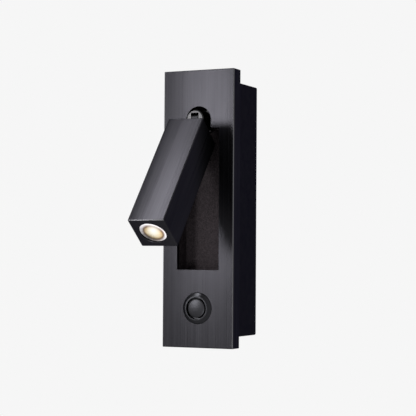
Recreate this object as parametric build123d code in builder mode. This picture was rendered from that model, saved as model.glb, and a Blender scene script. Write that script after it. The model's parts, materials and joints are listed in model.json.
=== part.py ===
from build123d import *
from math import asin, cos, degrees, radians, sin
import os

# Bedside wall reading lamp. A hollow faceplate covers a box that is let into the wall. A square spot head
# hangs from a round knuckle above a recess in the plate, tilts out of it on a pin, and folds back into it.
# Millimetres. The origin is the centre of the faceplate's back rim, on the wall's surface:
# X to the right, +Y into the wall, +Z up, so the room is on the -Y side.

os.makedirs("parts", exist_ok=True)

# ---------------------------------------------------------------- driving dimensions
PLATE_W = 56.0
PLATE_H = 200.0
PLATE_T = 11.0  # wall surface to front face
PLATE_WALL = 3.0  # front wall and rim of the hollow plate
PLATE_EDGE_R = 0.7
PLATE_CORNER_R = 0.6

OPENING_W = 32.8
OPENING_TOP = 57.5
OPENING_BOTTOM = -44.1
OPENING_EDGE_R = 0.3
ARCH_R = 9.6  # head room of the opening round the knuckle
RECESS_DEPTH = 15.0  # front face to the tray's floor
TRAY_WALL = 1.5

BOX_W = 41.0
BOX_H = 185.5
BOX_BACK_Y = 47.5  # wall surface to the back of the box
BOX_WALL = 1.2
BOX_BEND_R = 1.2

BACKING_T = 1.5
BACKING_SET_BACK = 0.5  # the backing plate lies this far inside the rim, so only the rim meets the wall

PIVOT_Y = -13.5
PIVOT_Z = 63.8
TILT = 38.8  # degrees that the head stands out from its folded place
KNUCKLE_R = 6.7
KNUCKLE_FRONT_Y = -17.2
SLOT_W = 6.0
PIN_R = 1.5
RUNNING = 0.05  # radial clearance of a turning or sliding fit
THREAD_GAP = 0.03  # radial gap between a nut and the plain cylinder that stands for its thread

HEAD_W = 27.4
HEAD_LEN = 94.6
HEAD_WALL = 2.2
HEAD_EDGE_R = 0.7
HEAD_NECK = 12.0  # pivot to the head's top end
END_WALL = 1.8
LENS_R = 9.7  # the aperture that the lens shows in
LENS_RECESS = 1.2

SWITCH_Z = -71.6
BEZEL_R = 11.4
BEZEL_PROUD = 2.3
BARREL_R = 9.4
CAP_R = 6.75
CAP_TRAVEL = 2.0

DRIVER_Z = 2.0
DRIVER_Y = 8.5  # the side of the driver that faces the tray

# ---------------------------------------------------------------- places worked out from them
FRONT_Y = -PLATE_T
PLATE_INNER_Y = FRONT_Y + PLATE_WALL
TRAY_FLOOR_Y = FRONT_Y + RECESS_DEPTH
TRAY_BACK_Y = TRAY_FLOOR_Y + TRAY_WALL
BACKING_BACK_Y = -BACKING_SET_BACK
BACKING_FRONT_Y = BACKING_BACK_Y - BACKING_T
BOX_INNER_Y = BOX_BACK_Y - BOX_WALL
BOX_INNER_TOP = BOX_H / 2 - BOX_WALL
HEAD_END = HEAD_NECK + HEAD_LEN
HEAD_BORE_W = HEAD_W - 2 * HEAD_WALL

HEAD = Plane(
    origin=(0, PIVOT_Y, PIVOT_Z),
    x_dir=(1, 0, 0),
    z_dir=(0, sin(radians(TILT)), cos(radians(TILT))),
)
HEAD_SIDE = Plane(origin=HEAD.origin, x_dir=HEAD.y_dir, z_dir=HEAD.x_dir)
SWITCH_AXIS = Axis((0, 0, SWITCH_Z), (0, 1, 0))


def at_depth(y):
    """The upright plane at Y = y that faces the room: a positive extrusion comes out towards the room."""
    return Plane.XZ.offset(-y)


def facing_wall(y):
    """The upright plane at Y = y that faces the wall: a positive extrusion goes into the wall."""
    return Plane(origin=(0, y, 0), x_dir=(-1, 0, 0), z_dir=(0, 1, 0))


def along_head(distance):
    """The head's cross-section this far below the pivot: a positive extrusion goes up to the pivot."""
    return HEAD.offset(-distance)


def head_point(x, y, distance):
    """A point of the head: across it, towards the wall, and this far below the pivot."""
    return HEAD.from_local_coords((x, y, -distance))


def opening_outline(grow, mode=Mode.ADD):
    """Draws the faceplate's opening, grown outwards all round: a rectangle with an arched top."""
    middle = (OPENING_TOP + OPENING_BOTTOM) / 2
    with Locations((0, middle)):
        Rectangle(OPENING_W + 2 * grow, OPENING_TOP - OPENING_BOTTOM + 2 * grow, mode=mode)
    with Locations((0, (PIVOT_Z + middle) / 2)):
        Rectangle(2 * (ARCH_R + grow), PIVOT_Z - middle, mode=mode)
    with Locations((0, PIVOT_Z)):
        Circle(ARCH_R + grow, mode=mode)


def tube(start, length, outer, inner=0.0, spot=(0, 0), mode=Mode.ADD):
    """Adds a round bar, or with an inner radius a ring: from the plane start, along its normal."""
    with BuildSketch(start) as section:
        with Locations(spot):
            Circle(outer)
            if inner > 0:
                Circle(inner, mode=Mode.SUBTRACT)
    extrude(section.sketch, amount=length, mode=mode)


def screw(seat, spot, head_r, head_t, shank_r, shank_len):
    """Adds a pan-head screw: the head stands on the seat plane, the shank goes down from it."""
    tube(seat, head_t, head_r, spot=spot)
    with BuildSketch(seat.offset(head_t)) as cross:
        with Locations(spot):
            Rectangle(head_r * 1.2, head_r * 0.3)
            Rectangle(head_r * 0.3, head_r * 1.2)
    extrude(cross.sketch, amount=-head_t * 0.55, mode=Mode.SUBTRACT)
    tube(seat, -shank_len, shank_r, spot=spot)


def wire(route, radius, bend):
    """Adds one insulated wire along a route of points, with rounded bends."""
    with BuildLine() as path:
        FilletPolyline(*route, radius=bend)
    with BuildSketch(Plane(origin=path.line @ 0, z_dir=path.line % 0)) as section:
        Circle(radius)
    sweep(section.sketch, path=path.line)


def finish(piece, name):
    """Names a finished piece and writes it."""
    piece.part.label = name
    export_step(piece.part, "parts/" + name + ".step")


# ---------------------------------------------------------------- faceplate
# A machined aluminium pan: front wall and rim, four screw bosses, the arched opening and the switch hole.
BACKING_SPOTS = [(x, z) for x in (-15.0, 15.0) for z in (-88.0, 88.0)]
TRAY_SPOTS = [(x, z) for x in (-21.2, 21.2) for z in (-46.8, 75.5)]
TAP_R = 1.25  # tapped holes for M3
TAP_DEPTH = 7.0
BOSS_R = 3.4
PAN_CORNER_R = 1.5
SWITCH_HOLE_R = 9.55
TRAY_TAP_R = 1.0
TRAY_TAP_DEPTH = 2.2

with BuildPart() as faceplate:
    with BuildSketch(at_depth(0)):
        RectangleRounded(PLATE_W, PLATE_H, PLATE_CORNER_R)
    extrude(amount=PLATE_T)
    fillet(faces().sort_by(Axis.Y)[0].edges(), PLATE_EDGE_R)
    with BuildSketch(at_depth(0)):
        RectangleRounded(PLATE_W - 2 * PLATE_WALL, PLATE_H - 2 * PLATE_WALL, PAN_CORNER_R)
    extrude(amount=PLATE_T - PLATE_WALL, mode=Mode.SUBTRACT)
    for spot in BACKING_SPOTS:
        tube(at_depth(BACKING_FRONT_Y), BACKING_FRONT_Y - PLATE_INNER_Y, BOSS_R, spot=spot)
        tube(at_depth(BACKING_FRONT_Y), TAP_DEPTH, TAP_R, spot=spot, mode=Mode.SUBTRACT)
    for spot in TRAY_SPOTS:
        tube(at_depth(PLATE_INNER_Y), TRAY_TAP_DEPTH, TRAY_TAP_R, spot=spot, mode=Mode.SUBTRACT)
    with BuildSketch(at_depth(PLATE_INNER_Y)):
        opening_outline(0)
        with Locations((0, SWITCH_Z)):
            Circle(SWITCH_HOLE_R)
    extrude(amount=PLATE_WALL, mode=Mode.SUBTRACT)
    opening_wire = faces().sort_by(Axis.Y)[0].inner_wires().sort_by(Axis.Z)[-1]
    fillet(opening_wire.edges(), OPENING_EDGE_R)
finish(faceplate, "faceplate")

# ---------------------------------------------------------------- recess tray
# A painted die-cast tray behind the opening: the head folds into it, and its floor carries the knuckle.
FLANGE_T = 1.2
FLANGE_W = 48.6
FLANGE_TOP = 79.0
FLANGE_BOTTOM = -50.5
FLANGE_CORNER_R = 3.0
FLOOR_INNER_R = 1.2
BUSH_R = 6.0
DRIVER_SCREW_REACH = 35.5  # driver's centre to each of its screws
DRIVER_SPOTS = [(0, DRIVER_Z - DRIVER_SCREW_REACH), (0, DRIVER_Z + DRIVER_SCREW_REACH)]
DRIVER_BOSS_R = 3.6
DRIVER_TAP_DEPTH = 3.4
TRAY_HOLE_R = TRAY_TAP_R + 0.3

with BuildPart() as recess_tray:
    with BuildSketch(at_depth(PLATE_INNER_Y)):
        opening_outline(TRAY_WALL)
    extrude(amount=PLATE_INNER_Y - TRAY_BACK_Y)
    with BuildSketch(at_depth(PLATE_INNER_Y)):
        with Locations((0, (FLANGE_TOP + FLANGE_BOTTOM) / 2)):
            RectangleRounded(FLANGE_W, FLANGE_TOP - FLANGE_BOTTOM, FLANGE_CORNER_R)
    extrude(amount=-FLANGE_T)
    with BuildSketch(at_depth(PLATE_INNER_Y)):
        opening_outline(0)
    extrude(amount=PLATE_INNER_Y - TRAY_FLOOR_Y, mode=Mode.SUBTRACT)
    floor = faces().filter_by(Plane.XZ).group_by(Axis.Y)[-2][0]
    fillet(floor.edges(), FLOOR_INNER_R)
    for spot in DRIVER_SPOTS:
        tube(at_depth(DRIVER_Y), DRIVER_Y - TRAY_BACK_Y, DRIVER_BOSS_R, spot=spot)
        tube(at_depth(DRIVER_Y), DRIVER_TAP_DEPTH, TAP_R, spot=spot, mode=Mode.SUBTRACT)
    tube(at_depth(TRAY_BACK_Y), TRAY_WALL, BUSH_R, spot=(0, PIVOT_Z), mode=Mode.SUBTRACT)
    for spot in TRAY_SPOTS:
        tube(at_depth(PLATE_INNER_Y), -FLANGE_T, TRAY_HOLE_R, spot=spot, mode=Mode.SUBTRACT)
finish(recess_tray, "recess_tray")

with BuildPart() as tray_screws:
    seat = facing_wall(PLATE_INNER_Y + FLANGE_T)
    for spot in TRAY_SPOTS:
        screw(seat, spot, head_r=2.2, head_t=1.4, shank_r=TRAY_TAP_R, shank_len=FLANGE_T + 2.0)
finish(tray_screws, "tray_screws")

# ---------------------------------------------------------------- backing plate
# Sheet steel that closes the back of the pan round the tray and the switch, and butts against the box.
SWITCH_CLEAR_R = 12.8
BACKING_GAP = 0.3  # all round, to the rim and to the tray
BACKING_W = PLATE_W - 2 * PLATE_WALL - BACKING_GAP
BACKING_H = PLATE_H - 2 * PLATE_WALL - BACKING_GAP
SPRING_SCREW_R = 1.0
BACKING_HOLE_R = 1.6
BACKING_SINK_R = 2.8
SPRING_SPOTS = [(x, z) for x in (-9.5, 9.5) for z in (-85.0, 85.0)]

with BuildPart() as backing_plate:
    with BuildSketch(at_depth(BACKING_BACK_Y)):
        RectangleRounded(BACKING_W, BACKING_H, PAN_CORNER_R - BACKING_GAP / 2)
        opening_outline(TRAY_WALL + BACKING_GAP, mode=Mode.SUBTRACT)
        with Locations((0, SWITCH_Z)):
            Circle(SWITCH_CLEAR_R, mode=Mode.SUBTRACT)
        with Locations(*SPRING_SPOTS):
            Circle(SPRING_SCREW_R, mode=Mode.SUBTRACT)
    extrude(amount=BACKING_T)
    with Locations(facing_wall(BACKING_BACK_Y)):
        with Locations(*BACKING_SPOTS):
            CounterSinkHole(BACKING_HOLE_R, BACKING_SINK_R, counter_sink_angle=90)
finish(backing_plate, "backing_plate")

BACKING_SCREW_LEN = 7.5
BACKING_SCREW_SUNK = 0.2
SCREW_HEAD_R = 2.5
SCREW_HEAD_T = 1.3

with BuildPart() as backing_screws:
    with Locations(facing_wall(BACKING_BACK_Y)):
        with Locations(*BACKING_SPOTS):
            Cylinder(TAP_R, BACKING_SCREW_LEN, align=(Align.CENTER, Align.CENTER, Align.MAX))
            with Locations((0, 0, -BACKING_SCREW_SUNK)):
                Cone(TAP_R - 0.05, SCREW_HEAD_R, SCREW_HEAD_T, align=(Align.CENTER, Align.CENTER, Align.MAX))
finish(backing_screws, "backing_screws")

# ---------------------------------------------------------------- back box
# A folded steel box that is let into the wall: two slots for the wall screws, a cable hole, catch windows.
CABLE_Z = 78.0
GROMMET_HOLE_R = 5.5
WALL_SLOT_Z = 60.0
WALL_SLOT_W = 4.5
WALL_SLOT_LEN = 8.0
WINDOW_Y = 18.0
WINDOW_W = 14.0
WINDOW_LEN = 8.0
EARTH_SPOT = (12.0, 20.0)
EARTH_HOLE_R = 2.0
TERMINAL_SPOT = (0, 45.5)
TERMINAL_SCREW_R = 1.1

with BuildPart() as back_box:
    with BuildSketch(at_depth(BACKING_BACK_Y)):
        RectangleRounded(BOX_W, BOX_H, BOX_BEND_R)
    extrude(amount=BACKING_BACK_Y - BOX_BACK_Y)
    fillet(faces().sort_by(Axis.Y)[-1].edges(), BOX_BEND_R * 0.8)
    with BuildSketch(at_depth(BACKING_BACK_Y)):
        Rectangle(BOX_W - 2 * BOX_WALL, BOX_H - 2 * BOX_WALL)
    extrude(amount=BACKING_BACK_Y - BOX_INNER_Y, mode=Mode.SUBTRACT)
    with BuildSketch(at_depth(BOX_BACK_Y)):
        with Locations((0, WALL_SLOT_Z), (0, -WALL_SLOT_Z)):
            SlotOverall(WALL_SLOT_LEN, WALL_SLOT_W, rotation=90)
        with Locations((0, CABLE_Z)):
            Circle(GROMMET_HOLE_R)
        with Locations(EARTH_SPOT):
            Circle(EARTH_HOLE_R)
        with Locations(TERMINAL_SPOT):
            Circle(TERMINAL_SCREW_R)
    extrude(amount=BOX_WALL, mode=Mode.SUBTRACT)
    with BuildSketch(Plane.XY):
        with Locations((0, WINDOW_Y)):
            Rectangle(WINDOW_W, WINDOW_LEN)
    extrude(amount=BOX_H, both=True, mode=Mode.SUBTRACT)
finish(back_box, "back_box")

# ---------------------------------------------------------------- retaining springs
# Two bent strips on the backing plate. Their crests snap into the box's windows and hold the lamp in it.
SPRING_T = 0.6
SPRING_W = 12.0
SPRING_FOOT_W = 23.4
SPRING_FOOT_Z = 82.8
LEG_Z = 88.4  # outer face of the strip's straight leg
CREST_Z = BOX_INNER_TOP + 0.5
KNEE_Y = WINDOW_Y - 8.0  # where the straight leg turns out to the crest
STRIP_END_Y = WINDOW_Y + 11.0
STRIP_END_Z = LEG_Z - 1.5

with BuildPart() as retaining_springs:
    for up in (1, -1):
        with BuildSketch(Plane.YZ) as strip:
            with BuildLine():
                Polyline(
                    (BACKING_BACK_Y, up * LEG_Z),
                    (KNEE_Y, up * LEG_Z),
                    (WINDOW_Y, up * CREST_Z),
                    (STRIP_END_Y, up * STRIP_END_Z),
                    (STRIP_END_Y, up * (STRIP_END_Z - SPRING_T)),
                    (WINDOW_Y, up * (CREST_Z - SPRING_T)),
                    (KNEE_Y, up * (LEG_Z - SPRING_T)),
                    (BACKING_BACK_Y, up * (LEG_Z - SPRING_T)),
                    close=True,
                )
            make_face()
        extrude(strip.sketch, amount=SPRING_W / 2, both=True)
        with BuildSketch(at_depth(BACKING_BACK_Y)) as foot:
            with Locations((0, up * (SPRING_FOOT_Z + LEG_Z) / 2)):
                Rectangle(SPRING_FOOT_W, LEG_Z - SPRING_FOOT_Z)
        extrude(foot.sketch, amount=-SPRING_T)
    for spot in SPRING_SPOTS:
        tube(at_depth(BACKING_BACK_Y), -SPRING_T, SPRING_SCREW_R + 0.15, spot=spot, mode=Mode.SUBTRACT)
finish(retaining_springs, "retaining_springs")

with BuildPart() as spring_screws:
    seat = facing_wall(BACKING_BACK_Y + SPRING_T)
    shank_len = SPRING_T + BACKING_T + 0.5
    for spot in SPRING_SPOTS:
        screw(seat, spot, head_r=1.8, head_t=1.1, shank_r=SPRING_SCREW_R, shank_len=shank_len)
finish(spring_screws, "spring_screws")

# ---------------------------------------------------------------- knuckle
# A round steel stub that stands in the arch. Its slot takes the head's tongue, its shank goes through the
# tray's floor in a bush, and a nut with a disc spring keeps it turning stiffly. Its bore carries the wires.
KNUCKLE_CHAMFER = 0.7
SLOT_BACK_Y = PIVOT_Y + 4.3
SLOT_TOP = PIVOT_Z + 4.6
COLLAR_R = 8.2
COLLAR_T = 1.5
WASHER_T = 0.5
SHANK_R = 5.0
SHANK_END_Y = 13.0
WIRE_BORE_R = 2.2
BUSH_FLANGE_R = 8.0
BUSH_FLANGE_T = 1.0
SPRING_WASHER_T = 1.2
KNUCKLE_NUT_R = 7.0  # centre to flat
KNUCKLE_NUT_T = 4.0
COLLAR_BACK_Y = TRAY_FLOOR_Y - WASHER_T
BUSH_BACK_Y = TRAY_BACK_Y + BUSH_FLANGE_T
NUT_Y = BUSH_BACK_Y + SPRING_WASHER_T
PIN_HEAD_R = 2.6
PIN_HEAD_T = 1.4
DISC_T = 0.7
DISC_INNER_R = SHANK_R + 0.1
DRIVE_SLOT_W = 0.7
DRIVE_SLOT_DEPTH = 0.9
KNUCKLE_SPOT = (0, PIVOT_Z)
PIVOT_SIDE = Plane(origin=(0, PIVOT_Y, PIVOT_Z), x_dir=(0, 1, 0), z_dir=(1, 0, 0))

with BuildPart() as knuckle:
    tube(at_depth(COLLAR_BACK_Y), COLLAR_BACK_Y - KNUCKLE_FRONT_Y, KNUCKLE_R, spot=KNUCKLE_SPOT)
    chamfer(edges().sort_by(Axis.Y)[0], KNUCKLE_CHAMFER)
    tube(at_depth(COLLAR_BACK_Y), COLLAR_T, COLLAR_R, spot=KNUCKLE_SPOT)
    tube(at_depth(COLLAR_BACK_Y), COLLAR_BACK_Y - SHANK_END_Y, SHANK_R, spot=KNUCKLE_SPOT)
    tube(at_depth(SHANK_END_Y), SHANK_END_Y - SLOT_BACK_Y, WIRE_BORE_R, spot=KNUCKLE_SPOT, mode=Mode.SUBTRACT)
    with BuildSketch(at_depth(SLOT_BACK_Y)):
        with Locations((0, SLOT_TOP)):
            Rectangle(SLOT_W, 2 * KNUCKLE_R, align=(Align.CENTER, Align.MAX))
    extrude(amount=SLOT_BACK_Y - KNUCKLE_FRONT_Y, mode=Mode.SUBTRACT)
    with BuildSketch(PIVOT_SIDE):
        Circle(PIN_R)
    extrude(amount=KNUCKLE_R, both=True, mode=Mode.SUBTRACT)
    with BuildSketch(PIVOT_SIDE.offset(KNUCKLE_R - PIN_HEAD_T)):
        Circle(PIN_HEAD_R)
    extrude(amount=PIN_HEAD_T, mode=Mode.SUBTRACT)
finish(knuckle, "knuckle")

with BuildPart() as knuckle_washer:
    tube(at_depth(TRAY_FLOOR_Y), WASHER_T, COLLAR_R, SHANK_R + RUNNING, KNUCKLE_SPOT)
finish(knuckle_washer, "knuckle_washer")

with BuildPart() as knuckle_bush:
    tube(at_depth(TRAY_BACK_Y), TRAY_WALL, BUSH_R, SHANK_R + RUNNING, KNUCKLE_SPOT)
    tube(at_depth(BUSH_BACK_Y), BUSH_FLANGE_T, BUSH_FLANGE_R, SHANK_R + RUNNING, KNUCKLE_SPOT)
finish(knuckle_bush, "knuckle_bush")

with BuildPart() as disc_spring:
    with BuildSketch(Plane.YZ):
        with BuildLine():
            Polyline(
                (BUSH_BACK_Y, PIVOT_Z + BUSH_FLANGE_R),
                (BUSH_BACK_Y + DISC_T, PIVOT_Z + BUSH_FLANGE_R),
                (NUT_Y, PIVOT_Z + DISC_INNER_R),
                (NUT_Y - DISC_T, PIVOT_Z + DISC_INNER_R),
                close=True,
            )
        make_face()
    revolve(axis=Axis((0, 0, PIVOT_Z), (0, 1, 0)))
finish(disc_spring, "disc_spring")

with BuildPart() as knuckle_nut:
    with BuildSketch(at_depth(NUT_Y)):
        with Locations(KNUCKLE_SPOT):
            RegularPolygon(KNUCKLE_NUT_R, 6, major_radius=False)
            Circle(SHANK_R + THREAD_GAP, mode=Mode.SUBTRACT)
    extrude(amount=-KNUCKLE_NUT_T)
finish(knuckle_nut, "knuckle_nut")

# ---------------------------------------------------------------- hinge pin and friction washers
TONGUE_W = 4.8
EYE_R = 3.6
PIN_SUNK = 0.5
FRICTION_T = 0.5
FRICTION_R = 3.3

with BuildPart() as hinge_pin:
    with BuildSketch(PIVOT_SIDE):
        Circle(PIN_R)
    extrude(amount=KNUCKLE_R - PIN_SUNK, both=True)
    with BuildSketch(PIVOT_SIDE.offset(KNUCKLE_R - PIN_HEAD_T)):
        Circle(PIN_HEAD_R)
    extrude(amount=PIN_HEAD_T - PIN_SUNK)
    with BuildSketch(PIVOT_SIDE.offset(KNUCKLE_R - PIN_SUNK)):
        Rectangle(2.5 * PIN_HEAD_R, DRIVE_SLOT_W, rotation=35)
    extrude(amount=-0.5, mode=Mode.SUBTRACT)
finish(hinge_pin, "hinge_pin")

with BuildPart() as friction_washers:
    for side in (1, -1):
        with BuildSketch(PIVOT_SIDE.offset(side * (SLOT_W / 2 - FRICTION_T))) as disc:
            Circle(FRICTION_R)
            Circle(PIN_R, mode=Mode.SUBTRACT)
        extrude(disc.sketch, amount=side * FRICTION_T)
finish(friction_washers, "friction_washers")

# ---------------------------------------------------------------- head: tongue, cap and their fasteners
# The tongue's eye turns on the pin. Its hollow stem goes down through the cap, which plugs the head's top.
TONGUE_COLLAR_R = 6.0
TONGUE_COLLAR_T = 2.0
STEM_R = 3.0
STEM_END = 23.0
STEM_BORE_R = 1.6
WIRE_EXIT = 7.0  # the wires leave the tongue on its wall side, this far below the pivot
CAP_T = 6.0
BORE_CORNER_R = 0.5
CAP_BOTTOM = HEAD_NECK + CAP_T
PLUG_GAP = 0.1
GRUB_R = 1.5
GRUB_LEN = HEAD_WALL + 3.0
GRUB_SUNK = 0.3
GRUB_SOCKET_R = 0.75  # centre to flat
TONGUE_NUT_R = 5.0  # centre to flat
TONGUE_NUT_T = 3.0
GRUB_SPOTS = (-6.5, 6.5)
GRUB_DISTANCE = HEAD_NECK + CAP_T / 2
HEAD_BACK = Plane(origin=head_point(0, HEAD_W / 2, 0), x_dir=HEAD.x_dir, z_dir=HEAD.y_dir)

with BuildPart() as hinge_tongue:
    with BuildSketch(HEAD_SIDE):
        Circle(EYE_R)
        with Locations((0, -(HEAD_NECK - TONGUE_COLLAR_T) / 2)):
            Rectangle(2 * EYE_R, HEAD_NECK - TONGUE_COLLAR_T)
    extrude(amount=TONGUE_W / 2, both=True)
    tube(along_head(HEAD_NECK), TONGUE_COLLAR_T, TONGUE_COLLAR_R)
    tube(along_head(HEAD_NECK), HEAD_NECK - STEM_END, STEM_R)
    tube(along_head(STEM_END), STEM_END - WIRE_EXIT + STEM_BORE_R, STEM_BORE_R, mode=Mode.SUBTRACT)
    with BuildSketch(HEAD_BACK):
        with Locations((0, WIRE_EXIT)):
            Circle(STEM_BORE_R)
    extrude(amount=-HEAD_W / 2, mode=Mode.SUBTRACT)
    with BuildSketch(HEAD_SIDE):
        Circle(PIN_R + RUNNING)
    extrude(amount=TONGUE_W, both=True, mode=Mode.SUBTRACT)
finish(hinge_tongue, "hinge_tongue")

with BuildPart() as head_cap:
    with BuildSketch(along_head(HEAD_NECK)):
        RectangleRounded(HEAD_BORE_W - PLUG_GAP, HEAD_BORE_W - PLUG_GAP, BORE_CORNER_R)
        Circle(STEM_R + RUNNING, mode=Mode.SUBTRACT)
    extrude(amount=-CAP_T)
    with BuildSketch(HEAD_BACK):
        with Locations(*[(x, GRUB_DISTANCE) for x in GRUB_SPOTS]):
            Circle(GRUB_R)
    extrude(amount=-GRUB_LEN - 2.0, mode=Mode.SUBTRACT)
finish(head_cap, "head_cap")

with BuildPart() as tongue_nut:
    with BuildSketch(along_head(CAP_BOTTOM)):
        RegularPolygon(TONGUE_NUT_R, 6, major_radius=False)
        Circle(STEM_R + THREAD_GAP, mode=Mode.SUBTRACT)
    extrude(amount=-TONGUE_NUT_T)
finish(tongue_nut, "tongue_nut")

# ---------------------------------------------------------------- head: shell
# A machined aluminium tube, square outside and inside, closed at the lamp end but for the lens aperture.
APERTURE_CHAMFER = 0.3

with BuildPart() as head_shell:
    with BuildSketch(along_head(HEAD_END)):
        Rectangle(HEAD_W, HEAD_W)
    extrude(amount=HEAD_LEN)
    fillet(edges(), HEAD_EDGE_R)
    with BuildSketch(along_head(HEAD_END - END_WALL)):
        RectangleRounded(HEAD_BORE_W, HEAD_BORE_W, BORE_CORNER_R)
    extrude(amount=HEAD_LEN, mode=Mode.SUBTRACT)
    tube(along_head(HEAD_END), END_WALL, LENS_R, mode=Mode.SUBTRACT)
    rim = edges().filter_by(GeomType.CIRCLE).group_by(Axis(HEAD.origin, HEAD.z_dir))[0]
    chamfer(rim.sort_by(SortBy.RADIUS)[-1], APERTURE_CHAMFER)
    with BuildSketch(HEAD_BACK):
        with Locations(*[(x, GRUB_DISTANCE) for x in GRUB_SPOTS]):
            Circle(GRUB_R + 0.1)
    extrude(amount=-HEAD_WALL, mode=Mode.SUBTRACT)
finish(head_shell, "head_shell")

with BuildPart() as cap_screws:
    with BuildSketch(HEAD_BACK.offset(-GRUB_SUNK)):
        with Locations(*[(x, GRUB_DISTANCE) for x in GRUB_SPOTS]):
            Circle(GRUB_R - THREAD_GAP)
    extrude(amount=-GRUB_LEN)
    with BuildSketch(HEAD_BACK.offset(-GRUB_SUNK)):
        with Locations(*[(x, GRUB_DISTANCE) for x in GRUB_SPOTS]):
            RegularPolygon(GRUB_SOCKET_R, 6, major_radius=False)
    extrude(amount=-1.5, mode=Mode.SUBTRACT)
finish(cap_screws, "cap_screws")

# ---------------------------------------------------------------- head: light engine
# From the lamp end: lens, lens holder, emitter on its round board, and the slug that takes the heat.
LENS_FLANGE_R = 11.2
LENS_FLANGE_T = 1.5
LENS_FLANGE_D = HEAD_END - END_WALL  # distance below the pivot of the lens's seat
LENS_CONE_T = 9.0
LENS_CONE_R = 9.6
LENS_TIP_R = 4.2
LENS_CAVITY_R = 2.6
LENS_CAVITY_T = 3.5
LENS_TIP_D = LENS_FLANGE_D - LENS_FLANGE_T - LENS_CONE_T
HOLDER_R = 11.4
HOLDER_BORE_R = 10.0
BOARD_D = LENS_TIP_D - 0.8
BOARD_T = 1.6
BOARD_R = 11.0
SINK_LEN = 26.0
SINK_TOP_D = BOARD_D - BOARD_T - SINK_LEN
WIRE_SLOT_W = 6.0
WIRE_SLOT_DEPTH = 3.6
BOARD_SCREW_X = 7.6
BOARD_SCREW_R = 0.85
BOARD_SCREW_DEPTH = 6.0
EMITTER_W = 3.5
EMITTER_T = 0.7
EMITTER_DOME_R = 1.5
CONE_SWELL = 0.7  # how far the lens's side curves out past a straight cone
LENS_FACE_R = LENS_R - 0.1
LENS_RIM_R = 9.0  # inner edge of the flat rim round the lens's front
LENS_DISH_D = HEAD_END - LENS_RECESS - 0.8  # foot of the dish inside the rim, where the front dome starts
LENS_DOME_D = HEAD_END - 0.2  # the dome's top, just inside the head's end
LENS_DOME_FOOT_R = 7.6
LENS_DOME_RISE = LENS_DOME_D - LENS_DISH_D
LENS_DOME_R = (LENS_DOME_FOOT_R**2 + LENS_DOME_RISE**2) / (2 * LENS_DOME_RISE)

with BuildPart() as lens:
    with BuildSketch(HEAD_SIDE):
        with BuildLine():
            Polyline(
                (0, -LENS_TIP_D - LENS_CAVITY_T),
                (LENS_CAVITY_R, -LENS_TIP_D - LENS_CAVITY_T),
                (LENS_CAVITY_R, -LENS_TIP_D),
                (LENS_TIP_R, -LENS_TIP_D),
            )
            ThreePointArc(
                (LENS_TIP_R, -LENS_TIP_D),
                ((LENS_TIP_R + LENS_CONE_R) / 2 + CONE_SWELL, -LENS_TIP_D - LENS_CONE_T / 2),
                (LENS_CONE_R, -LENS_TIP_D - LENS_CONE_T),
            )
            front_dome = JernArc(
                start=(0, -LENS_DOME_D),
                tangent=(1, 0),
                radius=LENS_DOME_R,
                arc_size=degrees(asin(LENS_DOME_FOOT_R / LENS_DOME_R)),
            )
            Polyline(
                (LENS_CONE_R, -LENS_TIP_D - LENS_CONE_T),
                (LENS_FLANGE_R, -LENS_TIP_D - LENS_CONE_T),
                (LENS_FLANGE_R, -LENS_FLANGE_D),
                (LENS_FACE_R, -LENS_FLANGE_D),
                (LENS_FACE_R, -HEAD_END + LENS_RECESS),
                (LENS_RIM_R, -HEAD_END + LENS_RECESS),
                front_dome @ 1,
            )
            Line((0, -LENS_DOME_D), (0, -LENS_TIP_D - LENS_CAVITY_T))
        make_face()
    revolve(axis=Axis(HEAD.origin, HEAD.z_dir))
finish(lens, "lens")

with BuildPart() as lens_holder:
    holder_end = LENS_FLANGE_D - LENS_FLANGE_T
    tube(along_head(holder_end), holder_end - BOARD_D, HOLDER_R, HOLDER_BORE_R)
finish(lens_holder, "lens_holder")

with BuildPart() as led_emitter:
    with BuildSketch(along_head(BOARD_D)):
        Rectangle(EMITTER_W, EMITTER_W)
    extrude(amount=-EMITTER_T)
    with Locations(along_head(BOARD_D + EMITTER_T)):
        Sphere(EMITTER_DOME_R)
    split(bisect_by=along_head(BOARD_D), keep=Keep.BOTTOM)
finish(led_emitter, "led_emitter")

with BuildPart() as led_board:
    with BuildSketch(along_head(BOARD_D)):
        Circle(BOARD_R)
        with Locations((-BOARD_SCREW_X, 0), (BOARD_SCREW_X, 0)):
            Circle(BOARD_SCREW_R + 0.25, mode=Mode.SUBTRACT)
        with Locations((0, BOARD_R)):
            SlotOverall(WIRE_SLOT_W, WIRE_SLOT_W * 2 / 3, mode=Mode.SUBTRACT)
    extrude(amount=BOARD_T)
finish(led_board, "led_board")

with BuildPart() as heat_sink:
    with BuildSketch(along_head(BOARD_D - BOARD_T)):
        RectangleRounded(HEAD_BORE_W - PLUG_GAP, HEAD_BORE_W - PLUG_GAP, BORE_CORNER_R)
        with Locations((0, (HEAD_BORE_W - PLUG_GAP) / 2)):
            Rectangle(WIRE_SLOT_W, 2 * WIRE_SLOT_DEPTH, mode=Mode.SUBTRACT)
    extrude(amount=SINK_LEN)
    with BuildSketch(along_head(BOARD_D - BOARD_T)):
        with Locations((-BOARD_SCREW_X, 0), (BOARD_SCREW_X, 0)):
            Circle(BOARD_SCREW_R)
    extrude(amount=BOARD_SCREW_DEPTH, mode=Mode.SUBTRACT)
finish(heat_sink, "heat_sink")

with BuildPart() as board_screws:
    seat = Plane(origin=head_point(0, 0, BOARD_D), x_dir=HEAD.x_dir, z_dir=-HEAD.z_dir)
    shank_len = BOARD_T + BOARD_SCREW_DEPTH - 1.0
    for spot in ((-BOARD_SCREW_X, 0), (BOARD_SCREW_X, 0)):
        screw(seat, spot, head_r=1.7, head_t=1.1, shank_r=BOARD_SCREW_R, shank_len=shank_len)
finish(board_screws, "board_screws")

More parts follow.
